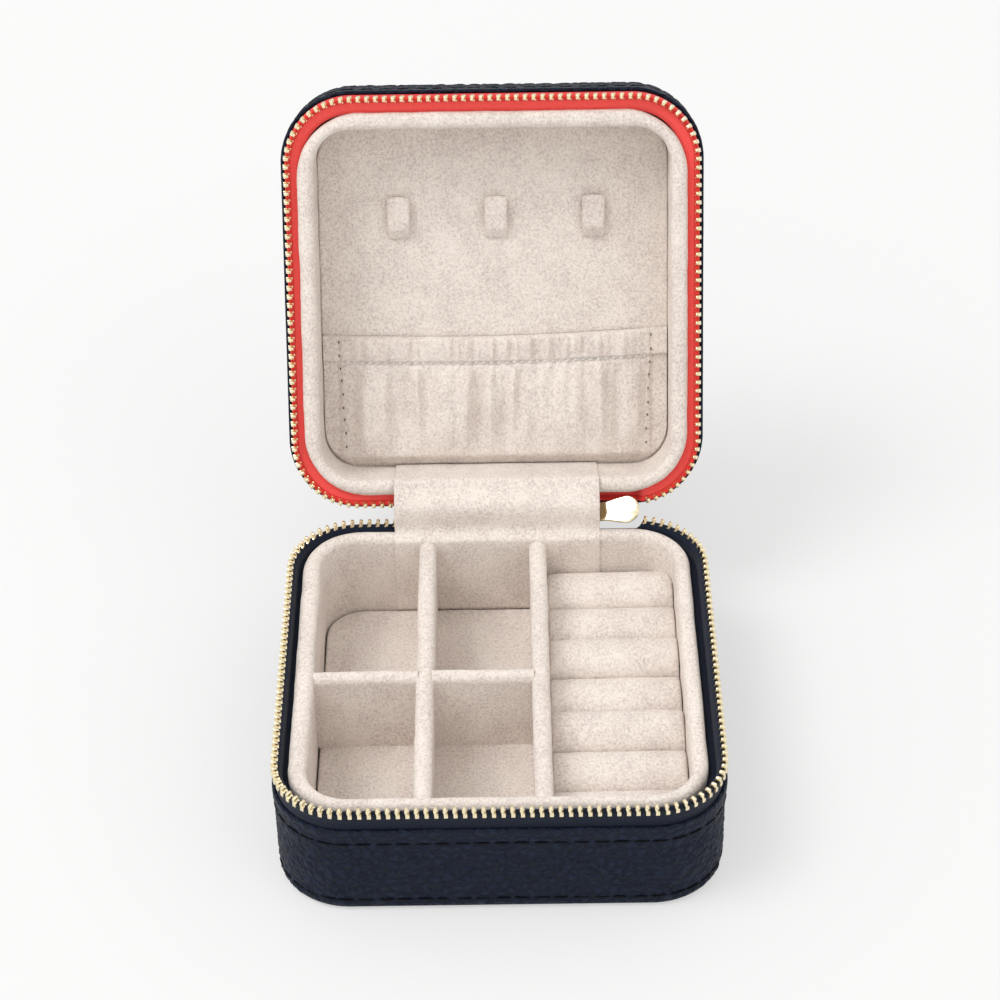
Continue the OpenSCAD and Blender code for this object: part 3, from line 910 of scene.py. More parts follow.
def lining_wall(name, lo, hi, inner_lo, inner_hi, z_rim, z_far, body, node_name, matrix, corner=LINING_R):
    """Suede over an upright board: a soft round rim, with straight sides that show the nap's waves."""
    counts = (110, 110, 26)
    outer = corner_loop(lo[0], hi[0], lo[1], hi[1], corner, *counts)[0]
    inner, in_normals, _ = corner_loop(inner_lo[0], inner_hi[0], inner_lo[1], inner_hi[1], INNER_R, *counts)
    way = 1 if z_rim > z_far else -1
    depth = abs(z_rim - z_far)
    # (share of the way from the outer face to the inner one, height below the rim)
    round_r = 1.75
    side = 0.46
    outline = [(0, depth), (0, depth / 2), (0, round_r + 1)]
    outline += [(side - side * math.cos(a), round_r * (1 - math.sin(a))) for a in np.radians(range(0, 90, 15))]
    outline += [(1 - side + side * math.sin(a), round_r * (1 - math.cos(a))) for a in np.radians(range(0, 91, 15))]
    outline += [(1, d) for d in np.linspace(round_r + 0.8, depth, 14)]
    share = np.array([o[0] for o in outline])
    down = np.array([o[1] for o in outline])
    xy = outer[:, None] * (1 - share)[None, :, None] + inner[:, None] * share[None, :, None]
    z = np.broadcast_to(z_rim - way * down, xy.shape[:2])
    shell = np.dstack([xy, z])
    flat = shell.reshape(-1, 3)
    soft = wander(flat, 7.0, 3.0).reshape(z.shape) * 0.16 + wander(flat, 2.2, 8.0).reshape(z.shape) * 0.06
    top = np.exp(-down / 3.0)
    normals = in_normals / np.linalg.norm(in_normals, axis=1)[:, None]
    lean = (share - 0.5) * 2
    shell[..., :2] -= normals[:, None] * (soft * lean)[..., None]
    shell[..., 2] += way * soft * top[None] * (1 - np.abs(lean))[None]
    faces = grid_faces(*z.shape, True, True)
    piece = body_piece(name, moved(flat, matrix), faces, MATERIALS["suede"], body, [node_name])
    tidy_normals(piece)
    return piece


def soft_plate(name, lo, hi, r, z_face, z_back, body, node_name, matrix, material, puff=0.0, gap=0.0):
    """Covered pad with round corners and a soft edge."""
    way = 1 if z_face > z_back else -1
    y0, y1, half = lo[1] + gap, hi[1] - gap, hi[0] - gap
    rows = edge_spread(y0, y1, 1.3)
    cols = edge_spread(-1, 1, 1.3 / half)
    x = half_width(rows, y0, y1, half, r)[:, None] * cols[None]
    y = np.broadcast_to(rows[:, None], x.shape)
    inset = plate_edge(x, y, y0, y1, half, r)
    soft = 0.55
    drop = soft - np.sqrt(np.clip(soft**2 - (soft - np.clip(inset, 0, soft)) ** 2, 0, 1))
    flat = np.dstack([x, y, np.full(x.shape, z_face)]).reshape(-1, 3)
    crown = puff * smooth_step(inset.ravel() / 9.0)
    flat[:, 2] += way * (crown - drop.ravel() + 0.07 * wander(flat, 6.0, 5.0))
    under = flat.copy()
    under[:, 2] = z_back
    return closed_slab(
        name, flat, under, len(rows), len(cols), MATERIALS[material], body, [node_name], matrix
    )


def divider(name, node_name, along_y, seed):
    """Suede-covered board with a round top, a little uneven along its length."""
    lo, hi = cad_box(node_name)
    axis = 1 if along_y else 0
    mid = (lo[1 - axis] + hi[1 - axis]) / 2
    r = (hi[1 - axis] - lo[1 - axis]) / 2
    reach = 0.25 if along_y else 0.5
    steps = np.linspace(lo[axis] - reach, hi[axis] + (0 if along_y else reach), 90)
    outline = [(-r * 0.94, lo[2] - 0.2)] + [(-r * 0.94, z) for z in np.linspace(lo[2] + 1, hi[2] - r - 1, 9)]
    outline += arc(0, hi[2] - r, r, 180, 0, 15)
    outline += [(r * 0.94, z) for z in np.linspace(hi[2] - r - 1, lo[2] + 1, 9)] + [(r * 0.94, lo[2] - 0.2)]
    outline = np.array(outline)
    rings = []
    for s in steps:
        wide = 1 + 0.05 * noise.noise(Vector((s / 6, seed, 0)))
        lean = 0.22 * noise.noise(Vector((s / 17, seed, 4)))
        tall = 0.16 * noise.noise(Vector((s / 8, seed, 9)))
        share = smooth_step((outline[:, 1] - lo[2]) / (hi[2] - lo[2]))
        across = mid + outline[:, 0] * wide + lean * share
        z = outline[:, 1] + tall * share
        fine = np.array([noise.noise(Vector((s / 2.0, a / 1.5, h / 2.0 + seed))) for a, h in outline]) * 0.08
        across = across + fine * np.sign(outline[:, 0])
        z = z + fine * share
        ring = np.empty((len(outline), 3))
        ring[:, axis], ring[:, 1 - axis], ring[:, 2] = s, across, z
        rings.append(ring)
    rings = np.array(rings)
    piece = body_piece(
        name, rings.reshape(-1, 3), loft(rings), MATERIALS["suede"], "base", [node_name]
    )
    tidy_normals(piece)
    smooth_by_angle(piece, 60)
    return piece


ROLL_LIFT = (-1.3, -2.3, -0.7, -2.2, -0.7, -1.8, -2.0)  # each roll's top above or below the pad's height


def ring_roll(index, node_name):
    """Stuffed roll: round on top, pressed flat against its neighbours, drawn in at the ends."""
    lo, hi = cad_box(node_name)
    mid, r = (lo[1] + hi[1]) / 2, (hi[1] - lo[1]) / 2
    pad_lo, pad_hi = cad_box("ring_pad_base")
    top = hi[2] + ROLL_LIFT[index]
    cols = np.linspace(0, 1, 70)
    x0, x1 = pad_lo[0] + 0.1, pad_hi[0] - 0.15
    corner = 6.0
    outline = [(-1.02, 0.0), (-1.03, 0.35), (-1.03, 0.62)]
    outline += [(-math.cos(a) * 1.03, 0.62 + 0.38 * math.sin(a)) for a in np.radians(range(8, 180, 8))]
    outline += [(1.03, 0.62), (1.03, 0.35), (1.02, 0.0)]
    outline = np.array(outline)
    rings = []
    for t in cols:
        x = x0 + (x1 - x0) * t
        near = min(x - x0, x1 - x)
        pinch = 1 - 0.5 * math.exp(-near / 0.5) - 0.06 * math.exp(-near / 4)
        y = mid + outline[:, 0] * r
        z = lo[2] + outline[:, 1] * (top - lo[2]) * (0.86 + 0.14 * pinch)
        z = z - 0.55 * (1 - t) * outline[:, 1] + 0.15 * outline[:, 1]
        if index == 0:
            into = max(0.0, x - (x1 - corner))
            limit = pad_hi[1] - corner + math.sqrt(corner**2 - min(into, corner) ** 2)
            y = np.minimum(y, limit)
        wave = np.array([noise.noise(Vector((x / 5, a * r / 4, index * 7.0 + b))) for a, b in outline])
        fine = np.array([noise.noise(Vector((x / 1.8, a * r / 1.6, index * 3.0 + b * 5))) for a, b in outline])
        z = z + (0.22 * wave + 0.07 * fine) * outline[:, 1]
        rings.append(np.stack([np.full(len(y), x), y, z], 1))
    rings = np.array(rings)
    piece = body_piece(
        node_name + "_stuffed", rings.reshape(-1, 3), loft(rings), MATERIALS["suede"], "base",
        [node_name],
    )
    tidy_normals(piece)
    smooth_by_angle(piece, 55)
    return piece


def ring_pad():
    lo, hi = cad_box("ring_pad_base")
    outline = arc(hi[0] - 6, hi[1] - 6, 5.8, 0, 90, 10) + [(lo[0] + 0.2, hi[1] - 0.2)]
    outline += [(lo[0] + 0.2, lo[1] + 0.2)] + arc(hi[0] - 6, lo[1] + 6, 5.8, 270, 360, 10)
    pad = bevelled_plate("ring_pad_foam", outline, lo[2], hi[2], 0.5, MATERIALS["foam"], "base",
                         ["ring_pad_base"])
    for k in range(7):
        ring_roll(k, f"ring_roll_{k + 1}")


def bevelled_plate(name, outline, z0, z1, bevel, material, body, nodes, matrix=None, segments=3):
    """Flat piece cut to an outline in x and y, with its edges rounded over."""
    work = bmesh.new()
    face = work.faces.new([work.verts.new((x, y, z0)) for x, y in outline])
    more = bmesh.ops.extrude_face_region(work, geom=[face])["geom"]
    for v in more:
        if isinstance(v, bmesh.types.BMVert):
            v.co.z = z1
    bmesh.ops.recalc_face_normals(work, faces=work.faces)
    rims = [e for e in work.edges if abs(e.verts[0].co.z - e.verts[1].co.z) < 1e-6]
    bmesh.ops.bevel(work, geom=rims, offset=bevel, segments=segments, profile=0.5, affect="EDGES")
    verts = np.array([v.co for v in work.verts])
    index = {v: k for k, v in enumerate(work.verts)}
    faces = [[index[v] for v in f.verts] for f in work.faces]
    work.free()
    if matrix is not None:
        verts = moved(verts, matrix)
    piece = body_piece(name, verts, faces, material, body, nodes)
    smooth_by_angle(piece, 50)
    return piece


def necklace_hook(name, node_name, seed):
    """Stiff suede tab: it stands on the panel at its root and its free end is a little proud."""
    lo, hi = lid_box(node_name)
    mid, half = (lo[0] + hi[0]) / 2, (hi[0] - lo[0]) / 2 * 1.08
    face = PANEL_FACE
    length = hi[1] - lo[1]
    rings = []
    for t in np.linspace(0, 1, 30):
        y = lo[1] + length * t
        close = math.sqrt(max(0.0, 1 - max(0.0, (1.4 - length * t) / 1.4) ** 2))
        close = max(close, 0.12)
        tail = smooth_step((length * t - (length - 2.6)) / 2.6)
        wide = half * (0.62 + 0.38 * close) * (1 - 0.04 * tail)
        high = face - 2.75 + 1.55 * tail
        low = face - 1.15 + 1.6 * smooth_step((t - 0.55) / 0.2)
        centre, thick = (high + low) / 2, (low - high) / 2 * (0.35 + 0.65 * close)
        ring = []
        for a in np.radians(np.arange(0, 360, 15)):
            c, s = math.cos(a), math.sin(a)
            power = 0.5
            ring.append((
                mid + wide * math.copysign(abs(c) ** power, c) + 0.12 * noise.noise(Vector((y / 3, seed, c))),
                y + 0.35 * (1 - close) * abs(c),
                centre + thick * math.copysign(abs(s) ** power, s),
            ))
        rings.append(ring)
    rings = np.array(rings)
    piece = body_piece(
        name, moved(rings.reshape(-1, 3), LID), loft(rings), MATERIALS["suede"], "lid", [node_name]
    )
    tidy_normals(piece)
    return piece


# ---- pocket ----

CASING = 6.6  # from the pocket's mouth down to the stitched line
SEAM_X = 38.0  # side seams of the pocket, from the middle


def pocket_height(x, down, depth):
    """How far the gathered suede stands off the panel."""
    side = smooth_step((SEAM_X - abs(x)) / 8.0)
    edge = smooth_step((SEAM_X + 0.4 - abs(x)) / 1.2)
    gather = 0.6 * noise.noise(Vector((x / 1.5, down * 0.03, 2))) + 0.4 * noise.noise(Vector((x / 3.0, 0, 6)))
    if down < CASING:
        t = down / CASING
        round_top = math.sqrt(max(0.0, 1 - (1 - min(1.0, down / 0.8)) ** 2))
        tube = 0.9 + edge + 0.55 * side * math.sin(math.pi * min(1, 0.2 + t * 0.78)) ** 0.5
        ruffled = 2.4 * side * gather * math.sin(math.pi * (0.12 + 0.8 * t))
        return max(tube + 0.5 * side + ruffled, 1.5) * (0.35 + 0.65 * round_top)
    t = (down - CASING) / (depth - CASING)
    lean = x + 2.2 * t * noise.noise(Vector((x / 14, 0, 3)))
    fold = noise.noise(Vector((lean / 4.6, t * 0.5, 1))) + 0.5 * noise.noise(Vector((lean / 2.6, t * 0.6, 5)))
    fold = math.copysign(abs(fold) ** 0.8, fold)
    fade = smooth_step(t / 0.18) * (1 - smooth_step((t - 0.5) / 0.5))
    small = (1 - smooth_step(t / 0.3)) * gather
    belly = 0.95 + side * (2.6 * math.sin(math.pi * min(1, t * 0.82 + 0.08)) ** 0.8)
    sit = 1 - smooth_step((t - 0.9) / 0.1) * 0.75
    return (0.3 + belly * (0.35 + 0.65 * edge)) * sit + side * (size("ruffle") * fold * fade + small)


def pocket():
    """Gathered suede pocket: elastic casing at the mouth, folds that fade towards the bottom seam."""
    half = POCKET_HI[0]
    mouth, bottom = POCKET_LO[1] - 0.6, POCKET_HI[1]
    depth = bottom - mouth
    rows = np.unique(np.concatenate([np.linspace(0, CASING, 22), np.linspace(CASING, depth, 62)]))
    cols = np.linspace(-1, 1, 361)
    top = np.empty((len(rows), len(cols), 3))
    corner = INNER_R
    for i, down in enumerate(rows):
        into = max(0.0, down - (depth - corner))
        width = half - corner + math.sqrt(max(0.0, corner**2 - into**2))
        for j, c in enumerate(cols):
            x = width * c
            high = pocket_height(x, down, depth)
            if CASING - 0.5 < down < CASING + 0.5:
                high -= 0.3 * smooth_step((SEAM_X - abs(x)) / 2)
            slump = 1.2 * math.cos(math.pi * x / half / 2) * (1 - down / depth)
            tilt = -0.012 * x * (1 - down / depth)
            top[i, j] = (x, mouth + down + slump + tilt, PANEL_FACE - high)
    flat = top.reshape(-1, 3)
    flat[:, 2] += 0.05 * wander(flat, 1.6, 11.0)
    under = flat.copy()
    under[:, 2] += 0.55
    piece = closed_slab(
        "lid_pocket_gathered", flat, under, len(rows), len(cols), MATERIALS["suede"], "lid",
        ["lid_pocket"], LID,
    )
    pocket_stitches(top, rows)
    return piece


def pocket_stitches(top, rows):
    """White stitches under the elastic, dark ones down both sides."""
    row = int(np.argmin(abs(rows - CASING)))
    line = top[row]
    places = []
    for x in np.arange(-SEAM_X + 2.0, SEAM_X - 1.0, 1.85):
        j = int(np.argmin(abs(line[:, 0] - x)))
        places.append((line[j] + np.array([0, 0, -0.22]), np.array([0.92, -0.39, 0]), np.array([0, 0, -1.0])))
    stitch_row("pocket_stitches_white", places, MATERIALS["white_thread"], "lid", 1.25, 0.25, LID)
    places = []
    for side in (-1, 1):
        for down in np.arange(1.6, rows[-1] - 3.0, 3.3):
            i = int(np.argmin(abs(rows - down)))
            x = side * (SEAM_X - 0.05 * down)
            j = int(np.argmin(abs(top[i, :, 0] - x)))
            places.append((top[i, j] + np.array([0, 0, -0.02]), np.array([0, 1.0, 0]), np.array([0, 0, -1.0])))
    stitch_row("pocket_stitches_side", places, MATERIALS["grey_thread"], "lid", 0.75, 0.2, LID)


def pocket_elastic():
    """Ribbed elastic inside the casing."""
    lo, hi = lid_box("pocket_elastic")
    reach = SEAM_X - 2.5
    cols = np.linspace(-reach, reach, 260)
    rings = []
    mid_y, mid_z = (lo[1] + hi[1]) / 2, PANEL_FACE - 0.55
    for x in cols:
        rib = 0.05 * math.sin(x * 2 * math.pi / 1.1)
        turns = np.radians(range(0, 360, 20))
        ring = [(x, mid_y + 1.8 * math.cos(a), mid_z + (0.2 + rib) * math.sin(a)) for a in turns]
        rings.append(ring)
    rings = np.array(rings)
    piece = body_piece(
        "pocket_elastic_band", moved(rings.reshape(-1, 3), LID), loft(rings), MATERIALS["elastic"], "lid",
        ["pocket_elastic"],
    )
    tidy_normals(piece)
    return piece


# ---- pieces that cross the hinge ----


def lid_point(y, z):
    """Place in the row frame of a point that is given with the case closed."""
    p = LID @ Vector((0, y, z))
    return (p.y, p.z)


def bent_strip(name, path, half, thick, material, nodes, round_end=0.0, wave=0.0):
    """Strip of even width that follows a path in y and z, as a closed thin solid."""
    line = smooth_path(path, 9)
    heading = np.gradient(line, axis=0)
    heading /= np.linalg.norm(heading, axis=1)[:, None]
    normal = np.stack([-heading[:, 1], heading[:, 0]], 1)
    lengths = np.concatenate([[0], np.cumsum(np.linalg.norm(np.diff(line, axis=0), axis=1))])
    total = lengths[-1]
    across = np.unique(np.concatenate([np.linspace(-1, 1, 61), [-0.994, 0.994, -0.985, 0.985]]))
    rings = []
    for p, n, s in zip(line, normal, lengths):
        wide = half
        if round_end:
            left = min(s, total - s, round_end)
            wide = half - round_end + math.sqrt(max(0, round_end**2 - (round_end - left) ** 2))
        x = wide * across
        swell = np.array([noise.noise(Vector((v / 9, s / 7, 12))) for v in x]) * wave
        edge = np.clip((wide - np.abs(x)) / 0.35, 0, 1)
        t = thick / 2 * (0.35 + 0.65 * np.sqrt(edge))
        up = [(v, p[0] + n[0] * (a + b), p[1] + n[1] * (a + b)) for v, a, b in zip(x, t, swell)]
        low = [(v, p[0] + n[0] * (b - a), p[1] + n[1] * (b - a)) for v, a, b in zip(x, t, swell)]
        rings.append(up + low[::-1])
    rings = np.array(rings)
    piece = body_piece(name, rings.reshape(-1, 3), loft(rings), material, None, ())
    tidy_normals(piece)
    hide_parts(*nodes)
    return piece, total


def hinge_strap():
    """Suede strap that lines the hinge, from the tray's floor to the lid's pocket."""
    lo, hi = cad_box("hinge_strap_lower")
    _, up_hi = lid_box("hinge_strap_upper")
    up_lo, _ = lid_box("hinge_strap_upper")
    y_wall, rim = lo[1] + 0.3, hi[2] - 0.3
    reach = 4.9  # clear of the hinge line, in front of the slider
    lean = OPEN / 2
    mid = (HINGE.y - reach * math.cos(lean), HINGE.z + reach * math.sin(lean))
    y_frame, z_rim = up_lo[1] + 0.3, up_lo[2] + 0.3
    path = [(y_wall, lo[2] + 0.1), (y_wall, 14), (y_wall, 21), (y_wall, rim - 1.6), (y_wall + 0.35, rim - 0.4)]
    path += [(y_wall + 1.5, rim + 0.15), (y_wall + 2.6, rim + 1.6), mid]
    path += [lid_point(y_frame + 2.4, z_rim - 1.1), lid_point(y_frame + 0.7, z_rim - 0.2)]
    path += [lid_point(y_frame + 0.05, z_rim + 1.2), lid_point(y_frame, 36), lid_point(y_frame, 41)]
    path += [lid_point(y_frame, up_hi[2] - 0.3)]
    piece, length = bent_strip(
        "hinge_strap", path, hi[0], 0.55, MATERIALS["suede"],
        ["hinge_strap_lower", "hinge_strap_upper"], wave=0.12,
    )
    start = Vector((0, HINGE.y - 3.0, HINGE.z - 2.4))
    end = start.copy()
    end.y, end.z = lid_point(HINGE.y - 3.0, HINGE.z + 2.4)
    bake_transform(piece)
    return piece


def spine():
    """Leather spine sewn over both back walls, outside the hinge."""
    lo, hi = cad_box("spine_lower")
    up_lo, up_hi = lid_box("spine_upper")
    y = (lo[1] + hi[1]) / 2 + 0.25
    path = [(y, lo[2]), (y, 23), (y, 26), (y, 28.4), (y - 0.15, 29.8), (HINGE.y + 0.2, HINGE.z - 0.1)]
    path += [lid_point(y - 0.15, 31.6), lid_point(y, 33), lid_point(y, 35.5), lid_point(y, 38.5)]
    path += [lid_point(y, up_hi[2])]
    piece, length = bent_strip(
        "leather_spine", path, hi[0], 0.9, MATERIALS["leather"],
        ["spine_lower", "spine_upper"], round_end=2.0, wave=0.1,
    )
    start = Vector((0, HINGE.y, HINGE.z - 1.6))
    end = start.copy()
    end.y, end.z = lid_point(HINGE.y, HINGE.z + 1.6)
    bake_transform(piece)
    return piece


# ---- slider and pull ----

SLIDER_X0, SLIDER_X1 = 14.2, 22.6
PIN_X = 23.6
UPRIGHT = Matrix.Rotation(math.pi / 2, 4, "X")  # outlines drawn in x and z


def slider():
    wide, narrow = 3.3, 2.5
    x0, x1 = SLIDER_X0, SLIDER_X1
    outline = [(x0, -narrow), (x1 - 2.4, -wide)] + arc(x1 - 0.9, -wide + 0.9, 0.9, 270, 360, 6)
    outline += arc(x1 - 0.9, wide - 0.9, 0.9, 0, 90, 6) + [(x1 - 2.4, wide), (x0, narrow)]
    turn = SLIDER @ UPRIGHT
    for side, label in ((-1, "front"), (1, "back")):
        z0, z1 = (1.0, 1.6) if side < 0 else (-1.6, -1.0)
        bevelled_plate(
            f"slider_plate_{label}", outline, z0, z1, 0.22, MATERIALS["polished"], "slider",
            [], turn,
        )
    post = [(x1 - 2.6, -1.35), (x1 - 0.3, -1.35), (x1 - 0.3, -0.95)]
    post += arc(PIN_X, 0, 0.95, -70, 70, 9) + [(x1 - 0.3, 0.95), (x1 - 0.3, 1.35), (x1 - 2.6, 1.35)]
    bevelled_plate(
        "slider_post", post, -1.35, 1.35, 0.15, MATERIALS["polished"], "slider", [], SLIDER
    )
    for k, side in enumerate((-1, 1)):
        z = side * (wide - 0.3)
        lip = [(x1 - 6, z - 0.27), (x1 - 2.4, z - 0.27), (x1 - 2.4, z + 0.27), (x1 - 6, z + 0.27)]
        bevelled_plate(
            f"slider_lip_{k + 1}", lip, 0.5, 1.05, 0.08, MATERIALS["polished"], "slider", [],
            turn,
        )
    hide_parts("zip_slider")


def pull_tab():
    length, wide, neck, thick = 10.9, 6.9, 2.3, 0.9
    centre = length - wide / 2
    right = arc(centre, 0, wide / 2, -80, 80, 25)
    upper = smooth_path([(centre + 0.4, wide / 2 - 0.02), (centre - 2.2, 2.95), (3.2, neck + 0.15), (0.9, neck)], 5)
    lower = [(x, -z) for x, z in upper[::-1]]
    outline = right + [tuple(p) for p in upper[1:]] + lower[:-1]
    tilt = Matrix.Rotation(math.radians(-15), 4, "Z")
    turn = SLIDER @ Matrix.Translation((PIN_X, 0, 0)) @ tilt @ UPRIGHT
    bevelled_plate(
        "pull_paddle", outline, -thick / 2, thick / 2, 0.3, MATERIALS["polished"], "pull",
        ["pull_tab"], turn, segments=4,
    )
    for k, side in enumerate((-1, 1)):
        ear = [(-0.85, 0)] + arc(0, 0, 0.9, 150, 30, 7) + [(1.2, 0.45), (1.2, -0.45)] + arc(0, 0, 0.9, -30, -150, 7)
        z = side * 1.86
        bevelled_plate(
            f"pull_ear_{k + 1}", ear, z - 0.33, z + 0.33, 0.1, MATERIALS["polished"], "pull",
            [], SLIDER @ Matrix.Translation((PIN_X, 0, 0)) @ tilt,
        )


# ---- stage ----

FLOOR_GREY, FLOOR_GLOW = 0.38, 0.48  # a pale floor that stays even under the soft light


def studio():
    scene = bpy.context.scene
    s = scene.case_studio
    scene.view_settings.view_transform = "Standard"
    camera = bpy.data.objects.new("camera", bpy.data.cameras.new("camera"))
    scene.collection.objects.link(camera)
    camera.data.lens = s.lens
    camera.data.sensor_width = 36
    turn = Matrix.Rotation(s.azimuth, 4, "Z") @ Matrix.Rotation(math.pi / 2 - s.elevation, 4, "X")
    turn = turn @ Matrix.Rotation(s.roll, 4, "Z")
    camera.matrix_world = Matrix.Translation(s.target) @ turn @ Matrix.Translation((0, 0, s.distance))
    scene.camera = camera

    world = bpy.data.worlds.new("studio")
    world.use_nodes = True
    world.node_tree.nodes["Background"].inputs["Color"].default_value = (1, 0.995, 0.985, 1)
    world.node_tree.nodes["Background"].inputs["Strength"].default_value = s.sky
    scene.world = world

    half = 3.0
    mesh = bpy.data.meshes.new("floor")
    corners = [(-half, -half, 0), (half, -half, 0), (half, half, 0), (-half, half, 0)]
    mesh.from_pydata(corners, [], [[0, 1, 2, 3]])
    floor = bpy.data.objects.new("floor", mesh)
    scene.collection.objects.link(floor)
    mat, _, shader = new_material("studio_floor", 0.9, Specular_IOR_Level=0.1)
    shader.inputs["Base Color"].default_value = (*[FLOOR_GREY] * 3, 1)
    shader.inputs["Emission Color"].default_value = (1.0, 1.0, 1.0, 1)
    shader.inputs["Emission Strength"].default_value = FLOOR_GLOW
    mesh.materials.append(mat)

    lights = [
        ("key", (-1.5, -0.4, 2.5), 1.5, s.key),
        ("fill", (1.8, -1.5, 1.9), 2.0, s.key * 0.15),
    ]
    for name, at, size, power in lights:
        lamp = bpy.data.lights.new(name, "AREA")
        lamp.shape = "DISK"
        lamp.size = size
        lamp.energy = power
        obj = bpy.data.objects.new(name, lamp)
        scene.collection.objects.link(obj)
        obj.location = at
        aim = Vector((0, 0.03, 0.03)) - Vector(at)
        obj.rotation_euler = aim.to_track_quat("-Z", "Y").to_euler()


# ---- operators ----


class CASE_OT_stage(bpy.types.Operator):
    """Set up the camera, the floor, the light and the materials"""

    bl_idname = "jewel_case.stage"
    bl_label = "Stage"

    def execute(self, context):
        studio()
        make_materials()
        return {"FINISHED"}


class CASE_OT_leather(bpy.types.Operator):
    """Make the leather shells and their stitches"""

    bl_idname = "jewel_case.leather"
    bl_label = "Leather and stitches"

    def execute(self, context):
        upper, lower = size("upper_seam"), size("lower_seam")
        still = Matrix.Identity(4)
        leather_wall("base_leather", BASE_RIM, 0.0, "base_leather_wall", "base", still)
        leather_wall("lid_leather", LID_RIM, LID_TOP, "lid_leather_wall", "lid", LID)
        case_sheet("base_leather_underside", "base_leather_bottom", "base", still, 0.0, 0.9, False)
        case_sheet("lid_leather_face", "lid_leather_top", "lid", LID, LID_TOP, LID_TOP - 0.9, True)
        wall_stitches("base_stitches_upper", BASE_RIM - upper, "base", still, SLIM["base"] * 0.45)
        wall_stitches("base_stitches_lower", lower, "base", still, SLIM["base"])
        wall_stitches("lid_stitches_upper", LID_RIM + upper, "lid", LID, SLIM["lid"] * 0.45 - 0.15)
        wall_stitches("lid_stitches_lower", LID_TOP - lower, "lid", LID, SLIM["lid"] - 0.15)
        return {"FINISHED"}


class CASE_OT_boards(bpy.types.Operator):
    """Finish the boards inside the leather and make the foam under the suede"""

    bl_idname = "jewel_case.boards"
    bl_label = "Boards and foam"

    def execute(self, context):
        for name in ("base_wall_board", "lid_wall_board"):
            finish_node(name, "board")
        for name, body, matrix in (("base_board", "base", Matrix.Identity(4)), ("lid_board", "lid", LID)):
            lo, hi = (lid_box if body == "lid" else cad_box)(name)
            soft_plate(
                f"{name}_plate", lo, hi, CORNER_R - 1.5, hi[2], lo[2], body, name, matrix, "board",
                gap=1.2,
            )
        lo, hi = cad_box("tray_floor_foam")
        foam = soft_plate(
            "tray_floor_foam_pad", lo, hi, INNER_R, hi[2], lo[2], "base", "tray_floor_foam",
            Matrix.Identity(4), "foam",
        )
        lo, hi = lid_box("lid_foam")
        foam = soft_plate(
            "lid_foam_pad", lo, hi, INNER_R, lo[2], hi[2], "lid", "lid_foam", LID, "foam"
        )
        return {"FINISHED"}


class CASE_OT_zip_tapes(bpy.types.Operator):
    """Weave the two tapes of the zip"""

    bl_idname = "jewel_case.zip_tapes"
    bl_label = "Zip tapes"

    def execute(self, context):
        lining = HALF_X - TRAY_HI[0]
        zip_tape("navy_zip_tape", "base", "base_zip_tape", "navy_tape", False, Matrix.Identity(4), lining, 3.4)
        lining = HALF_X - FRAME_HI[0] + 1.0
        zip_tape("red_zip_tape", "lid", "lid_zip_tape", "red_tape", True, LID, lining, 1.3)
        return {"FINISHED"}


class CASE_OT_zip_teeth(bpy.types.Operator):
    """Set the two rows of teeth and finish the stops"""

    bl_idname = "jewel_case.zip_teeth"
    bl_label = "Zip teeth"

    def execute(self, context):
        zip_teeth("base_teeth_row", "base", "base_zip_teeth", 0.0, False, Matrix.Identity(4))
        zip_teeth("lid_teeth_row", "lid", "lid_zip_teeth", 0.5, True, LID)
        for name in ("base_zip_stop", "lid_zip_stop"):
            finish_node(name, "teeth")
        return {"FINISHED"}


class CASE_OT_tray(bpy.types.Operator):
    """Line the tray in the base"""

    bl_idname = "jewel_case.tray"
    bl_label = "Tray"

    def execute(self, context):
        inner_lo = (CROSS_LO[0], LONG_LO[1])
        inner_hi = (-CROSS_LO[0], TRAY_HI[1] - 3.0)
        grow = np.array((-0.15, 0.5, 0.0))
        lining_wall(
            "tray_lining", TRAY_LO - (0.4, -0.3, 0.0), TRAY_HI + grow, inner_lo, inner_hi,
            TRAY_HI[2] + 0.7, TRAY_LO[2], "base",
            "tray_wall_lining", Matrix.Identity(4), LINING_R - 1.5,
        )
        floor = soft_plate(
            "tray_floor_pad", FLOOR_LO, FLOOR_HI, INNER_R, FLOOR_HI[2], FLOOR_LO[2], "base",
            "tray_floor", Matrix.Identity(4), "suede", puff=0.25, gap=0.35,
        )
        return {"FINISHED"}


class CASE_OT_dividers(bpy.types.Operator):
    """Make the suede dividers between the compartments"""

    bl_idname = "jewel_case.dividers"
    bl_label = "Dividers"

    def execute(self, context):
        divider("long_divider_left_wrapped", "long_divider_left", True, 1.0)
        divider("long_divider_right_wrapped", "long_divider_right", True, 14.0)
        divider("cross_divider_left_wrapped", "cross_divider_left", False, 27.0)
        divider("cross_divider_right_wrapped", "cross_divider_right", False, 41.0)
        return {"FINISHED"}


class CASE_OT_ring_pad(bpy.types.Operator):
    """Stuff the ring rolls on their foam"""

    bl_idname = "jewel_case.ring_pad"
    bl_label = "Ring rolls"

    def execute(self, context):
        ring_pad()
        return {"FINISHED"}


class CASE_OT_lid_lining(bpy.types.Operator):
    """Line the lid: the frame round its inside and the padded panel"""

    bl_idname = "jewel_case.lid_lining"
    bl_label = "Lid lining"

    def execute(self, context):
        lining_wall(
            "lid_frame_lining", FRAME_LO, FRAME_HI, PANEL_LO, PANEL_HI, FRAME_LO[2], FRAME_HI[2], "lid",
            "lid_frame", LID,
        )
        panel = soft_plate(
            "lid_panel_pad", PANEL_LO, PANEL_HI, INNER_R, PANEL_LO[2], PANEL_HI[2], "lid", "lid_panel",
            LID, "suede", puff=0.35,
        )
        return {"FINISHED"}


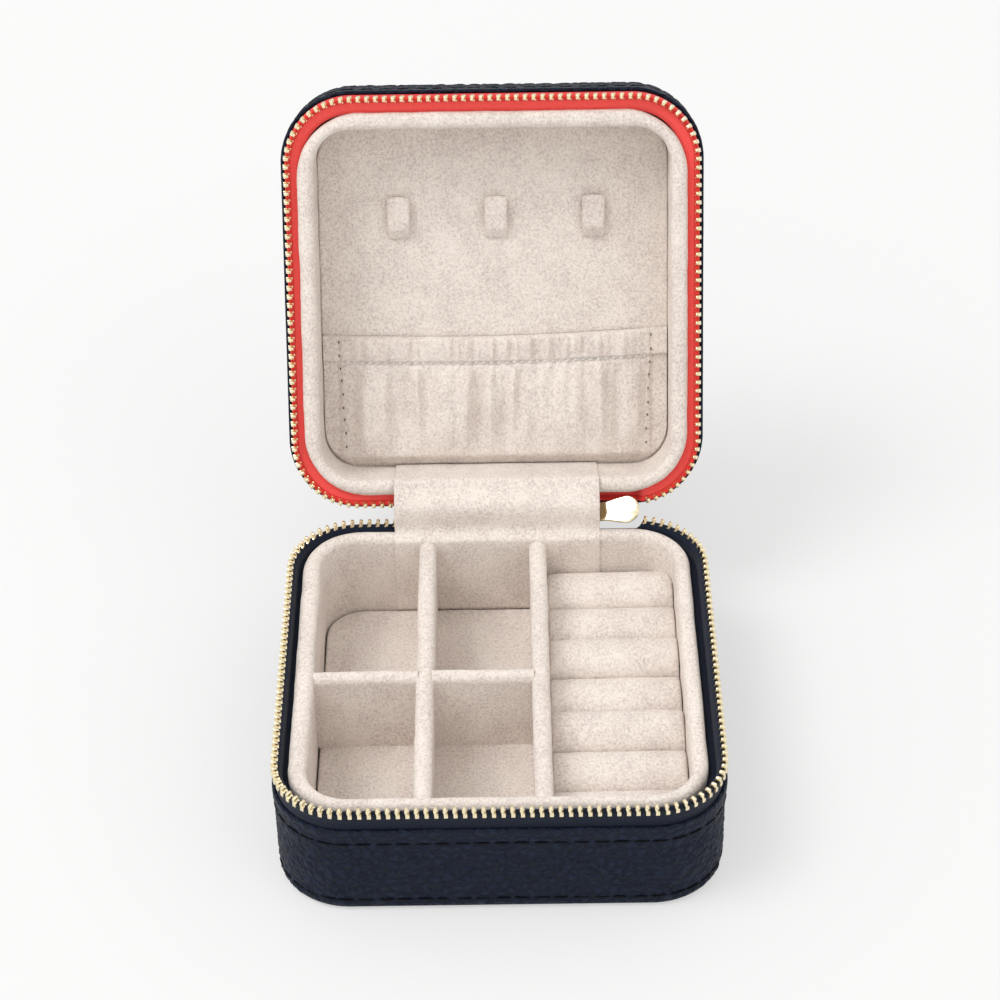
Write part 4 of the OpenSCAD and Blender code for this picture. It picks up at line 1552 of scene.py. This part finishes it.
class CASE_OT_hooks(bpy.types.Operator):
    """Make the three suede tabs that hold necklaces"""

    bl_idname = "jewel_case.hooks"
    bl_label = "Necklace hooks"

    def execute(self, context):
        for k, side in enumerate(("left", "middle", "right")):
            necklace_hook(f"necklace_tab_{side}", f"necklace_hook_{side}", 3.0 + 5.0 * k)
        return {"FINISHED"}


class CASE_OT_pocket(bpy.types.Operator):
    """Gather the lid's pocket on its elastic"""

    bl_idname = "jewel_case.pocket"
    bl_label = "Pocket"

    def execute(self, context):
        piece = pocket()
        pocket_elastic()
        return {"FINISHED"}


class CASE_OT_hinge(bpy.types.Operator):
    """Lay the suede strap inside the hinge and the leather spine outside it"""

    bl_idname = "jewel_case.hinge"
    bl_label = "Hinge strap and spine"

    def execute(self, context):
        hinge_strap()
        spine()
        return {"FINISHED"}


class CASE_OT_slider(bpy.types.Operator):
    """Make the zip's slider and pull, and finish the pin"""

    bl_idname = "jewel_case.slider"
    bl_label = "Slider and pull"

    def execute(self, context):
        slider()
        pull_tab()
        finish_node("slider_pin", "polished")
        return {"FINISHED"}


def finish_node(name, material):
    """A CAD piece that stays gets its material."""
    piece = frame["nodes"][name]
    piece.data.materials.clear()
    piece.data.materials.append(MATERIALS[material])


STEPS = (
    CASE_OT_stage,
    CASE_OT_leather,
    CASE_OT_boards,
    CASE_OT_zip_tapes,
    CASE_OT_zip_teeth,
    CASE_OT_tray,
    CASE_OT_dividers,
    CASE_OT_ring_pad,
    CASE_OT_lid_lining,
    CASE_OT_hooks,
    CASE_OT_pocket,
    CASE_OT_hinge,
    CASE_OT_slider,
)


class CASE_PT_panel(bpy.types.Panel):
    """Lists the steps and their settings"""

    bl_idname = "CASE_PT_panel"
    bl_label = "Jewellery case"
    bl_space_type = "VIEW_3D"
    bl_region_type = "UI"
    bl_category = "Case"

    def draw(self, context):
        for step in STEPS:
            self.layout.operator(step.bl_idname)
        for group in (context.scene.case_sizes, context.scene.case_colours, context.scene.case_studio):
            for key in group.__annotations__:
                self.layout.prop(group, key)


GROUPS = {"case_sizes": CaseSizes, "case_colours": CaseColours, "case_studio": CaseStudio}


def register():
    for name, group in GROUPS.items():
        bpy.utils.register_class(group)
        setattr(bpy.types.Scene, name, PointerProperty(type=group))
    for step in STEPS:
        bpy.utils.register_class(step)
    bpy.utils.register_class(CASE_PT_panel)


def unregister():
    bpy.utils.unregister_class(CASE_PT_panel)
    for step in reversed(STEPS):
        bpy.utils.unregister_class(step)
    for name, group in reversed(GROUPS.items()):
        delattr(bpy.types.Scene, name)
        bpy.utils.unregister_class(group)


def main():
    register()
    for step in STEPS:
        group, name = step.bl_idname.split(".")
        getattr(getattr(bpy.ops, group), name)()


if __name__ == "__main__":
    main()
